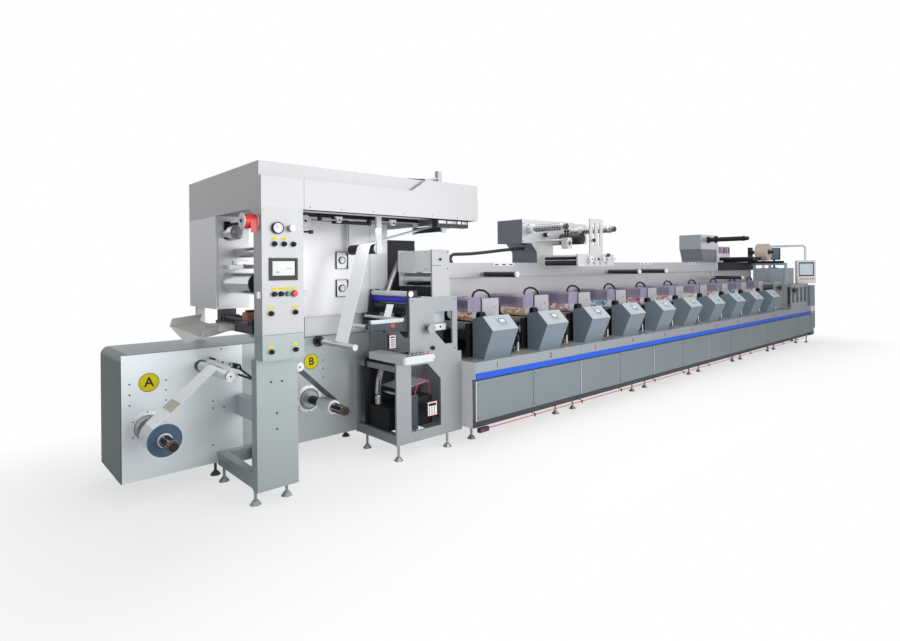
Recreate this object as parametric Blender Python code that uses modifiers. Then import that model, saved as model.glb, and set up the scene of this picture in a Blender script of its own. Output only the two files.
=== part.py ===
"""Flexographic label press with a twin unwinder, ten print units and overhead rewinds.

The press runs along +X from the unwinder to the delivery end. The operator stands on
the -Y side, and the floor is z = 0. Every size is in metres. While it is built, x = 0 is
the left face of the tower and y = 0 the front of the machine wall that carries the shafts.
"""

import math

import bmesh
import bpy
from mathutils import Matrix, Vector

# Clearances and general stock
GAP = 0.0003
BITE = 0.004
SHEET = 0.012
PLATE = 0.020
SIDES = 20

# Levelling feet
FOOT_PAD_R = 0.042
FOOT_PAD_H = 0.030
FOOT_STEM_R = 0.011
FOOT_TOP_R = 0.020

# Unwinder casing behind the machine wall
CASE_LEFT = -0.665
CASE_RIGHT = 1.450
CASE_BOTTOM = 0.140
CASE_TOP = 1.050
CASE_DEPTH = 0.670
CASE_CORNER = 0.060
WALL_PLATE = 0.014

# Unwind spindles
SPINDLE_A_X = -0.493
SPINDLE_B_X = 0.785
SPINDLE_Z = 0.515
SPINDLE_R = 0.037
SPINDLE_TIP = -0.620
CHUCK_R = 0.090
CHUCK_LENGTH = 0.035
REEL_FRONT = -0.430
REEL_WIDTH = 0.200
REEL_A_R = 0.110
REEL_B_R = 0.056

# Guide rollers of the unwinder and the tower
ROLLER_R = 0.0375
ROLLER_FRONT = -0.610
ROLLER_A_X = -0.126
ROLLER_B_X = 0.387
ROLLER_AB_Z = 0.918
ROLLER_C_X = 0.880
ROLLER_C_Z = 1.010
ROLLER_C_R = 0.026
WEB_THICK = 0.0015
WEB_FRONT = -0.440
WEB_WIDTH = 0.200
WEB_CLEAR = 0.006

# Tower
TOWER_WIDTH = 0.303
TOWER_FRONT = -0.755
COLUMN_DEPTH = 0.085
COLUMN_BOTTOM = 0.130
RAIL_HEIGHT = 0.100
RAIL_WIDTH = 0.060
PANEL_FRONT = -0.857
PANEL_DEPTH = 0.133
PANEL_BOTTOM = 1.030
TOUCH_X0 = 0.050
TOUCH_X1 = 0.255
TOUCH_DROP = 0.344
TOUCH_HEIGHT = 0.153
GAUGE_X = 0.109
GAUGE_DROP = 0.140
GAUGE_R = 0.038
KNOB_R = 0.014
TOWER_FOOT_INSET = 0.035

# Canopy over the tower
CANOPY_LENGTH = 2.040
CANOPY_FRONT = -0.855
CANOPY_REAR = 0.630
CANOPY_BOTTOM = 2.070
CANOPY_TOP = CANOPY_BOTTOM + 0.318
CANOPY_DECK = CANOPY_BOTTOM + 0.130
CANOPY_STEP_Z = CANOPY_BOTTOM + 0.216
CANOPY_STEP_BACK = 0.040
TOUCH_Z1 = CANOPY_BOTTOM - TOUCH_DROP
TOUCH_Z0 = TOUCH_Z1 - TOUCH_HEIGHT
GAUGE_Z = CANOPY_BOTTOM - GAUGE_DROP
CANOPY_STEP_X0 = CANOPY_LENGTH - 0.758
CANOPY_STEP_X1 = CANOPY_LENGTH - 0.597
ROOF_TRACK_X0 = CANOPY_LENGTH - 1.180
ROOF_TRACK_X1 = CANOPY_LENGTH - 0.420
ROOF_TRACK_RISE = 0.055
ROOF_TRACK_FRONT = -0.620
ROOF_TRACK_REAR = -0.400
ROOF_LUG_X1 = CANOPY_LENGTH - 0.215
ROOF_LUG_RISE = 0.145

# Rollers hung under the canopy
ROLLER_D_X = 1.185
ROLLER_D_DROP = 0.253
ROLLER_D_Z = CANOPY_BOTTOM - ROLLER_D_DROP
ROLLER_D_R = 0.044
ROLLER_E_X = CANOPY_LENGTH - 0.110
ROLLER_E_Z = CANOPY_BOTTOM - 0.050
ROLLER_E_R = 0.030
ROLLER_D_FRONT = -0.520
ROLLER_D_REAR = -0.060
LIGHT_BOX_LENGTH = 0.370
LIGHT_BOX_FRONT = -0.800
LIGHT_BOX_REAR = -0.730

# Cabinets under the canopy
CAB_LEFT_WIDTH = 0.263
CAB_LEFT_BOTTOM = 1.340
CAB_RIGHT_X0 = 0.730
CAB_RIGHT_X1 = 1.640
CAB_RIGHT_BOTTOM = 1.230

# Splice table
TRAY_CORNER = (-0.263, -0.451, 1.180)
TRAY_LENGTH = 0.400
TRAY_WIDTH = 0.240
TRAY_LIP = 0.055
TRAY_KEEL = 0.070
TRAY_SHEET = 0.004
TRAY_TURN = math.radians(44.0)
TRAY_TILT = math.radians(20.0)
BEAM_X0 = 0.030
BEAM_X1 = 0.170
BEAM_FRONT = -0.620
BEAM_Z0 = 1.190
BEAM_Z1 = 1.250

# Infeed frame
FRAME_X0 = 1.270
FRAME_FRONT = -0.630
FRAME_REAR = -PLATE - GAP
FRAME_FOOT_FRONT = -0.610
FRAME_FOOT_REAR = -0.132
FRAME_FOOT_RIGHT = 1.860
FRAME_BOTTOM = 0.130
FRAME_STEP_Z = 0.870
FRAME_TOP = 1.387
FRAME_UPPER_X0 = 1.420
FRAME_UPPER_X1 = 1.980
FRAME_LEG = 0.160
BAY_X1 = 1.770
BAY_Z0 = 0.220
BAY_Z1 = 0.795
BAY_CHAMFER = 0.150
WINDOW_X0 = 1.700
WINDOW_X1 = 1.920
WINDOW_Z0 = 0.950
WINDOW_Z1 = 1.250

# Control desk on the infeed frame
DESK_X0 = 1.285
DESK_X1 = 1.625
DESK_FRONT = -0.727
DESK_REAR = -0.197
DESK_BOTTOM = 0.830
DESK_TOP = 0.895
DESK_CORNER = 0.030

# Surface treater and nip rollers above the infeed frame
TREATER_X0 = 1.680
TREATER_X1 = 1.890
TREATER_REAR = -0.120
TREATER_HOOD_Z = 1.611
TREATER_TOP = 1.815
TREATER_DRUM_R = 0.060
DUCT_R = 0.026
NIP_X0 = 1.335
NIP_X1 = 1.520
NIP_Z0 = 1.100
NIP_Z1 = 1.450
NIP_SHEET = 0.015
REAR_CAB_X0 = 1.891
REAR_CAB_X1 = 2.260
REAR_CAB_TOP = 1.946

# Base of the print line
MODULE_START = 2.030
MODULE_PITCH = 1.636
MODULE_COUNT = 6
MODULE_SEAM = 0.004
BASE_FRONT = -0.820
BASE_REAR = 0.350
KICK_Z0 = 0.160
PANEL_Z0 = 0.230
PANEL_Z1 = 0.604
BAND_Z0 = 0.618
BLUE_Z1 = 0.672
BED_Z = 0.7725
KICK_BACK = 0.050
BLUE_PROUD = 0.008
FOOT_INSET_X = 0.160
FOOT_INSET_Y = 0.230
END_CAB_LENGTH = 0.305
END_CAB_Z0 = 0.300
END_CAB_TOP = 1.205
END_CAB_REAR = -0.350

# Print units, two on each of the first five modules
UNIT_PITCH = 0.818
UNIT_MODULES = 5
CONSOLE_X = 0.200
CONSOLE_WIDTH = 0.365
CONSOLE_FOOT_FRONT = -0.730
CONSOLE_NOSE_Y = -0.850
CONSOLE_NOSE_Z = 1.052
CONSOLE_BROW_Y = -0.720
CONSOLE_BROW_Z = 1.180
CONSOLE_BACK_Y = -0.580
CONSOLE_BACK_Z = 1.150
DECK_Z = 0.800
SIDE_FRONT = -0.530
SIDE_REAR = -0.060
SIDE_X0 = 0.165
SIDE_X1 = 0.660
SIDE_TOP = 1.100
SIDE_LUG_X = 0.335
SIDE_LUG_TOP = 1.200
SIDE_LOW = 1.100
PRINT_X = 0.370
PRINT_Z = 1.165
PRINT_R = 0.055
IMPRESSION_R = 0.080
INKING_R = 0.045
GUARD_X0 = 0.190
GUARD_X1 = 0.365
GUARD_BOTTOM = 1.205
GUARD_TOP = 1.350
GUARD_SLOPE = 0.025
GUARD_SHEET = 0.004
PLATE_TOP = 1.335
PLATE_X1 = 0.625
HOSE_R = 0.012
HOSE_Y = -0.300
HOSE_SPAN = 0.260
HOSE_SHOULDER = 1.310
HOSE_RISE = 0.115

# Machine wall behind the print units, with its top rail
UNITS_END = MODULE_START + UNIT_MODULES * MODULE_PITCH
BACK_X0 = 2.060
BACK_X1 = UNITS_END + 0.700
BACK_DEPTH = 0.350
BACK_TOP = 1.640
BACK_LOW_TOP = 1.300
RAIL_TOP = 1.700
RAIL_PROUD = 0.030
IDLER_Z = 1.570
IDLER_R = 0.030
IDLER_FRONT = -0.560
IDLER_X = (2.920, 5.430, 6.180)
LOW_IDLER_X = UNITS_END - 1.225
LOW_IDLER_Z = 1.420

# Overhead rewind units
REWIND_Z = 2.110
REWIND_Y = -0.030
REWIND_TIP = -0.680
REWIND_R = 0.040
OVER_1_X0 = MODULE_START + 1.590
OVER_1_LENGTH = 1.060
OVER_1_PLATE = 1.350
OVER_2_X0 = UNITS_END - 1.710
OVER_2_LENGTH = 0.726
OVER_BOTTOM = 1.940
OVER_TOP = 2.228
OVER_2_TOP = 2.200
OVER_DEPTH = 0.410
NECK_1_START = 0.275
NECK_1_LEAN = 0.110
NECK_1_END = 0.600
NECK_2_START = 0.095
NECK_2_LEAN = 0.085
NECK_2_END = 0.690
CABLE_X0 = OVER_1_X0 - 1.060
CABLE_Y = 0.100
CABLE_Z = 1.795
CABLE_RISE = 0.085
CABLE_R = 0.019
SPINDLE_1_OFFSET = 0.103
SPINDLE_2_OFFSET = 1.010
SPINDLE_3_OFFSET = 0.290

# Roller bracket under the first overhead rewind
BRACKET_X0 = OVER_1_X0 + 0.380
BRACKET_X1 = OVER_1_X0 + 1.160
BRACKET_FRONT = -0.560
BRACKET_Z0 = 1.650
BRACKET_Z1 = 1.796
BRACKET_ARM_X0 = OVER_1_X0 + 0.640
BRACKET_ARM_X1 = OVER_1_X0 + 0.920
BRACKET_ARM_TOP = 2.230
BRACKET_R = 0.030

# Die-cutting section and swinging operator screen
DIE_X0 = UNITS_END + 0.590
DIE_X1 = UNITS_END + 1.620
DIE_FRONT = -0.780
DIE_TOP = 1.250
DIE_SLOT = 0.120
DIE_SLOTS = 4
GATE_FRONT = -0.700
GATE_TOP = 1.680
GATE_BAR = 0.045
STAND_X1 = UNITS_END + 1.040
STAND_TOP = 1.575
SLITTER_X0 = UNITS_END + 0.070
SLITTER_FRONT = -0.640
SLITTER_TOP = 1.320
WHEEL_R = 0.062
MATRIX_X = UNITS_END + 0.560
MATRIX_Z = 1.900
MATRIX_R = 0.170
MATRIX_FRONT = -0.390
MATRIX_WIDTH = 0.210
MATRIX_ROLLER_Z = 1.700
WASTE_X0 = OVER_2_X0 + OVER_2_LENGTH + 0.034
WASTE_STEP = 0.180
WASTE_R = 0.032
POST_X = UNITS_END + 1.575
POST_Y = 0.060
POST_R = 0.028
POST_TOP = 2.030
ARM_REACH = 0.810
ARM_R = 0.022
SCREEN_WIDTH = 0.390
SCREEN_HEIGHT = 0.480
SCREEN_DEPTH = 0.070
SCREEN_TOP = 1.730
SCREEN_CORNER = 0.020
SCREEN_TURN = math.radians(-42.0)

# Finish of each kind of surface: colour, roughness, metallic
FINISHES = {
    "brushed_steel": ((0.60, 0.62, 0.63), 0.34, 0.9),
    "silver_paint": ((0.62, 0.64, 0.65), 0.45, 0.3),
    "pale_paint": ((0.74, 0.75, 0.75), 0.50, 0.1),
    "grey_paint": ((0.30, 0.33, 0.34), 0.50, 0.1),
    "blue_stripe": ((0.04, 0.13, 0.72), 0.40, 0.0),
    "black_metal": ((0.03, 0.03, 0.035), 0.40, 0.5),
    "roller": ((0.80, 0.81, 0.82), 0.22, 1.0),
    "web": ((0.90, 0.90, 0.88), 0.60, 0.0),
    "white_paint": ((0.86, 0.87, 0.87), 0.40, 0.0),
}


def clear_scene():
    """Remove every object that the file opened with."""
    for obj in list(bpy.data.objects):
        bpy.data.objects.remove(obj, do_unlink=True)


def make_material(name, finish):
    """Return a Principled material with one of the named finishes."""
    colour, roughness, metallic = FINISHES[finish]
    material = bpy.data.materials.new(name)
    material.use_nodes = True
    shader = material.node_tree.nodes["Principled BSDF"]
    shader.inputs["Base Color"].default_value = (*colour, 1.0)
    shader.inputs["Roughness"].default_value = roughness
    shader.inputs["Metallic"].default_value = metallic
    material.diffuse_color = (*colour, 1.0)
    return material


def mesh_from(bm, name="piece"):
    """Turn a bmesh into mesh data and free it."""
    mesh = bpy.data.meshes.new(name)
    bm.to_mesh(mesh)
    bm.free()
    return mesh


def box(x, y, z):
    """A box from its low and high x, y and z."""
    bm = bmesh.new()
    bmesh.ops.create_cube(bm, size=1.0)
    size = Vector((x[1] - x[0], y[1] - y[0], z[1] - z[0]))
    centre = Vector((x[0] + x[1], y[0] + y[1], z[0] + z[1])) / 2
    bmesh.ops.transform(bm, matrix=Matrix.Translation(centre) @ Matrix.Diagonal((*size, 1.0)),
                        verts=bm.verts)
    return mesh_from(bm)


def rod(start, end, radius, end_radius=None, sides=SIDES):
    """A round bar or a cone from one point to another."""
    start = Vector(start)
    end = Vector(end)
    along = end - start
    bm = bmesh.new()
    bmesh.ops.create_cone(bm, cap_ends=True, cap_tris=False, segments=sides, radius1=radius,
                          radius2=radius if end_radius is None else end_radius,
                          depth=along.length)
    turn = along.to_track_quat("Z", "Y").to_matrix().to_4x4()
    bmesh.ops.transform(bm, matrix=Matrix.Translation((start + end) / 2) @ turn, verts=bm.verts)
    return mesh_from(bm)


def outline(points, low, high, plane="XZ"):
    """A flat outline with thickness, from low to high along the axis that its plane leaves out."""
    curve = bpy.data.curves.new("outline", "CURVE")
    curve.dimensions = "2D"
    curve.fill_mode = "BOTH"
    curve.extrude = (high - low) / 2
    loops = points if isinstance(points[0][0], (tuple, list)) else [points]
    for loop in loops:
        spline = curve.splines.new("POLY")
        spline.points.add(len(loop) - 1)
        for point, (u, v) in zip(spline.points, loop):
            point.co = (u, v, 0.0, 1.0)
        spline.use_cyclic_u = True
    holder = bpy.data.objects.new("outline", curve)
    bpy.context.scene.collection.objects.link(holder)
    evaluated = holder.evaluated_get(bpy.context.evaluated_depsgraph_get())
    mesh = bpy.data.meshes.new_from_object(evaluated)
    bpy.data.objects.remove(holder, do_unlink=True)
    bpy.data.curves.remove(curve)
    bm = bmesh.new()
    bm.from_mesh(mesh)
    bpy.data.meshes.remove(mesh)
    bmesh.ops.remove_doubles(bm, verts=bm.verts, dist=0.00001)
    middle = (low + high) / 2
    if plane == "XY":
        matrix = Matrix.Translation((0, 0, middle))
    elif plane == "XZ":
        matrix = Matrix(((1, 0, 0, 0), (0, 0, 1, middle), (0, 1, 0, 0), (0, 0, 0, 1)))
    else:
        matrix = Matrix(((0, 0, 1, middle), (1, 0, 0, 0), (0, 1, 0, 0), (0, 0, 0, 1)))
    bmesh.ops.transform(bm, matrix=matrix, verts=bm.verts)
    bmesh.ops.recalc_face_normals(bm, faces=bm.faces)
    return mesh_from(bm)


def rounded(low, high, radius, steps=3):
    """The corner points of a rectangle with round corners, from its low and high corner."""
    corners = ((high[0] - radius, high[1] - radius, 0), (low[0] + radius, high[1] - radius, 1),
               (low[0] + radius, low[1] + radius, 2), (high[0] - radius, low[1] + radius, 3))
    points = []
    for u, v, quarter in corners:
        for i in range(steps + 1):
            angle = (quarter + i / steps) * math.pi / 2
            points.append((u + radius * math.cos(angle), v + radius * math.sin(angle)))
    return points


def turned(profile, sides=SIDES):
    """A turned piece about the y axis. The profile gives (radius, distance in front)."""
    mesh = bpy.data.meshes.new("turned")
    points = [(0.0, profile[0][1]), *profile, (0.0, profile[-1][1])]
    mesh.from_pydata([(radius, 0.0, front) for radius, front in points],
                     [(i, i + 1) for i in range(len(points) - 1)], [])
    holder = bpy.data.objects.new("turned", mesh)
    bpy.context.scene.collection.objects.link(holder)
    screw = holder.modifiers.new("turn", "SCREW")
    screw.axis = "Z"
    screw.angle = 2 * math.pi
    screw.steps = sides
    screw.render_steps = sides
    screw.use_merge_vertices = True
    screw.merge_threshold = 0.0001
    screw.use_normal_calculate = True
    evaluated = holder.evaluated_get(bpy.context.evaluated_depsgraph_get())
    result = bpy.data.meshes.new_from_object(evaluated)
    bpy.data.objects.remove(holder, do_unlink=True)
    bm = bmesh.new()
    bm.from_mesh(result)
    bpy.data.meshes.remove(result)
    bmesh.ops.transform(bm, matrix=Matrix.Rotation(math.pi / 2, 4, "X"), verts=bm.verts)
    bmesh.ops.recalc_face_normals(bm, faces=bm.faces)
    return mesh_from(bm)


def hose(points, radius, resolution=2):
    """A round hose or bent tube with closed ends along a line of points."""
    curve = bpy.data.curves.new("hose", "CURVE")
    curve.dimensions = "3D"
    curve.bevel_depth = radius
    curve.bevel_resolution = resolution
    curve.use_fill_caps = True
    spline = curve.splines.new("POLY")
    spline.points.add(len(points) - 1)
    for point, place in zip(spline.points, points):
        point.co = (*place, 1.0)
    holder = bpy.data.objects.new("hose", curve)
    bpy.context.scene.collection.objects.link(holder)
    evaluated = holder.evaluated_get(bpy.context.evaluated_depsgraph_get())
    mesh = bpy.data.meshes.new_from_object(evaluated)
    bpy.data.objects.remove(holder, do_unlink=True)
    bpy.data.curves.remove(curve)
    bm = bmesh.new()
    bm.from_mesh(mesh)
    bpy.data.meshes.remove(mesh)
    bmesh.ops.remove_doubles(bm, verts=bm.verts, dist=0.00001)
    bmesh.ops.recalc_face_normals(bm, faces=bm.faces)
    return mesh_from(bm)


def arch(start, end, rise, steps=8):
    """Points of a hose that leaves both ends upwards and meets in a round arch."""
    start = Vector(start)
    end = Vector(end)
    points = [tuple(start)]
    for i in range(steps + 1):
        angle = math.pi * i / steps
        across = (1 - math.cos(angle)) / 2
        place = start.lerp(end, across)
        place.z += rise * (0.35 + 0.65 * math.sin(angle))
        points.append(tuple(place))
    points.append(tuple(end))
    return points


def combine(base, others, operation, scratch):
    """Join or cut a mesh with a list of others, and return the new mesh."""
    holder = bpy.data.objects.new("base", base)
    scratch.objects.link(holder)
    group = bpy.data.collections.new("operands")
    tools = []
    for mesh in others:
        tool = bpy.data.objects.new("operand", mesh)
        group.objects.link(tool)
        tools.append(tool)
    modifier = holder.modifiers.new("combine", "BOOLEAN")
    modifier.operation = operation
    modifier.solver = "EXACT"
    modifier.operand_type = "COLLECTION"
    modifier.collection = group
    evaluated = holder.evaluated_get(bpy.context.evaluated_depsgraph_get())
    result = bpy.data.meshes.new_from_object(evaluated)
    for obj in [holder, *tools]:
        bpy.data.objects.remove(obj, do_unlink=True)
    bpy.data.collections.remove(group)
    return result


class Press:
    """Collects the nodes of the press under one empty."""

    def __init__(self):
        self.collection = bpy.data.collections.new("flexographic_press")
        bpy.context.scene.collection.children.link(self.collection)
        self.root = bpy.data.objects.new("press_origin", None)
        self.collection.objects.link(self.root)
        self.nodes = {}

    def add(self, name, finish, pieces, cuts=(), at=(0.0, 0.0, 0.0)):
        """Fuse the pieces, make the cuts, and place the node with its own material."""
        mesh = pieces[0]
        scratch = bpy.context.scene.collection
        if len(pieces) > 1:
            mesh = combine(mesh, pieces[1:], "UNION", scratch)
        if cuts:
            mesh = combine(mesh, list(cuts), "DIFFERENCE", scratch)
        mesh.name = name
        mesh.materials.clear()
        mesh.materials.append(make_material(name, finish))
        mesh.shade_smooth()
        mesh.set_sharp_from_angle(angle=math.radians(35))
        return self.place(name, mesh, at)

    def place(self, name, mesh, at):
        """Put a mesh in the model under its node name."""
        obj = bpy.data.objects.new(name, mesh)
        obj.location = at
        obj.parent = self.root
        self.collection.objects.link(obj)
        self.nodes[name] = obj
        return obj

    def centre_on_floor(self):
        """Move the whole press so that its footprint is centred on the world origin."""
        bpy.context.view_layer.update()
        corners = [obj.matrix_world @ vert.co for obj in self.nodes.values()
                   for vert in obj.data.vertices]
        low = Vector(min(c[i] for c in corners) for i in range(3))
        high = Vector(max(c[i] for c in corners) for i in range(3))
        self.root.location = (-(low.x + high.x) / 2, -(low.y + high.y) / 2, -low.z)


def foot(x, y, top):
    """The pieces of one levelling foot that ends inside the part above it."""
    return [
        rod((x, y, 0.0), (x, y, FOOT_PAD_H), FOOT_PAD_R, FOOT_TOP_R, sides=8),
        rod((x, y, FOOT_PAD_H - BITE), (x, y, top + BITE), FOOT_STEM_R, sides=6),
    ]


def feet(places, top):
    """All pieces of several feet."""
    return [piece for x, y in places for piece in foot(x, y, top)]


def tangent(circle_a, circle_b, side_a, side_b):
    """Contact points of a straight web between two circles given as (x, z, radius).

    A side of +1 lies left of the way from a to b, and -1 lies right of it.
    """
    a = Vector(circle_a[:2])
    b = Vector(circle_b[:2])
    gap = b - a
    reach = circle_a[2] * side_a - circle_b[2] * side_b
    turn = math.asin(max(-1.0, min(1.0, reach / gap.length)))
    heading = math.atan2(gap.y, gap.x) - turn
    left = Vector((-math.sin(heading), math.cos(heading)))
    return a + left * circle_a[2] * side_a, b + left * circle_b[2] * side_b


def build_unwinder(press):
    """The casing, the wall plate and the two reels on their spindles."""
    body_front = WALL_PLATE + GAP
    left = CASE_LEFT
    arc = [(left + CASE_CORNER * (1 - math.cos(t)), CASE_TOP - CASE_CORNER * (1 - math.sin(t)))
           for t in [i * math.pi / 12 for i in range(7)]]
    shell = [(left, CASE_BOTTOM), *arc, (CASE_RIGHT, CASE_TOP), (CASE_RIGHT, CASE_BOTTOM)]
    casing_feet = feet([(0.035, 0.153), (0.035, CASE_DEPTH - 0.10),
                        (CASE_RIGHT - 0.10, 0.320), (CASE_LEFT + 0.12, CASE_DEPTH - 0.10)],
                       CASE_BOTTOM)
    press.add("unwind_casing", "grey_paint",
              [outline(shell, body_front, CASE_DEPTH), *casing_feet])
    press.add("unwind_face", "brushed_steel",
              [box((CASE_LEFT + 0.006, CASE_RIGHT), (0.0, WALL_PLATE),
                   (CASE_BOTTOM + 0.004, CASE_TOP - 0.004))])
    for label, x, reel_r in (("a", SPINDLE_A_X, REEL_A_R), ("b", SPINDLE_B_X, REEL_B_R)):
        press.add(f"unwind_spindle_{label}", "black_metal", [
            turned([(CHUCK_R, GAP), (CHUCK_R, CHUCK_LENGTH * 0.6), (CHUCK_R * 0.8, CHUCK_LENGTH),
                    (SPINDLE_R, CHUCK_LENGTH), (SPINDLE_R, -SPINDLE_TIP - 0.020),
                    (SPINDLE_R - 0.006, -SPINDLE_TIP)]),
            rod((0, REEL_FRONT, 0), (0, REEL_FRONT + REEL_WIDTH, 0), reel_r, sides=32),
        ], at=(x, 0, SPINDLE_Z))
    for label, x in (("a", ROLLER_A_X), ("b", ROLLER_B_X)):
        press.add(f"guide_roller_{label}", "roller", [
            turned([(ROLLER_R * 1.3, GAP), (ROLLER_R * 1.3, 0.020), (ROLLER_R * 0.4, 0.020),
                    (ROLLER_R * 0.4, 0.056), (ROLLER_R, 0.056), (ROLLER_R, -ROLLER_FRONT),
                    (ROLLER_R * 0.5, -ROLLER_FRONT), (ROLLER_R * 0.5, -ROLLER_FRONT + 0.010)]),
        ], at=(x, 0, ROLLER_AB_Z))


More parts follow.
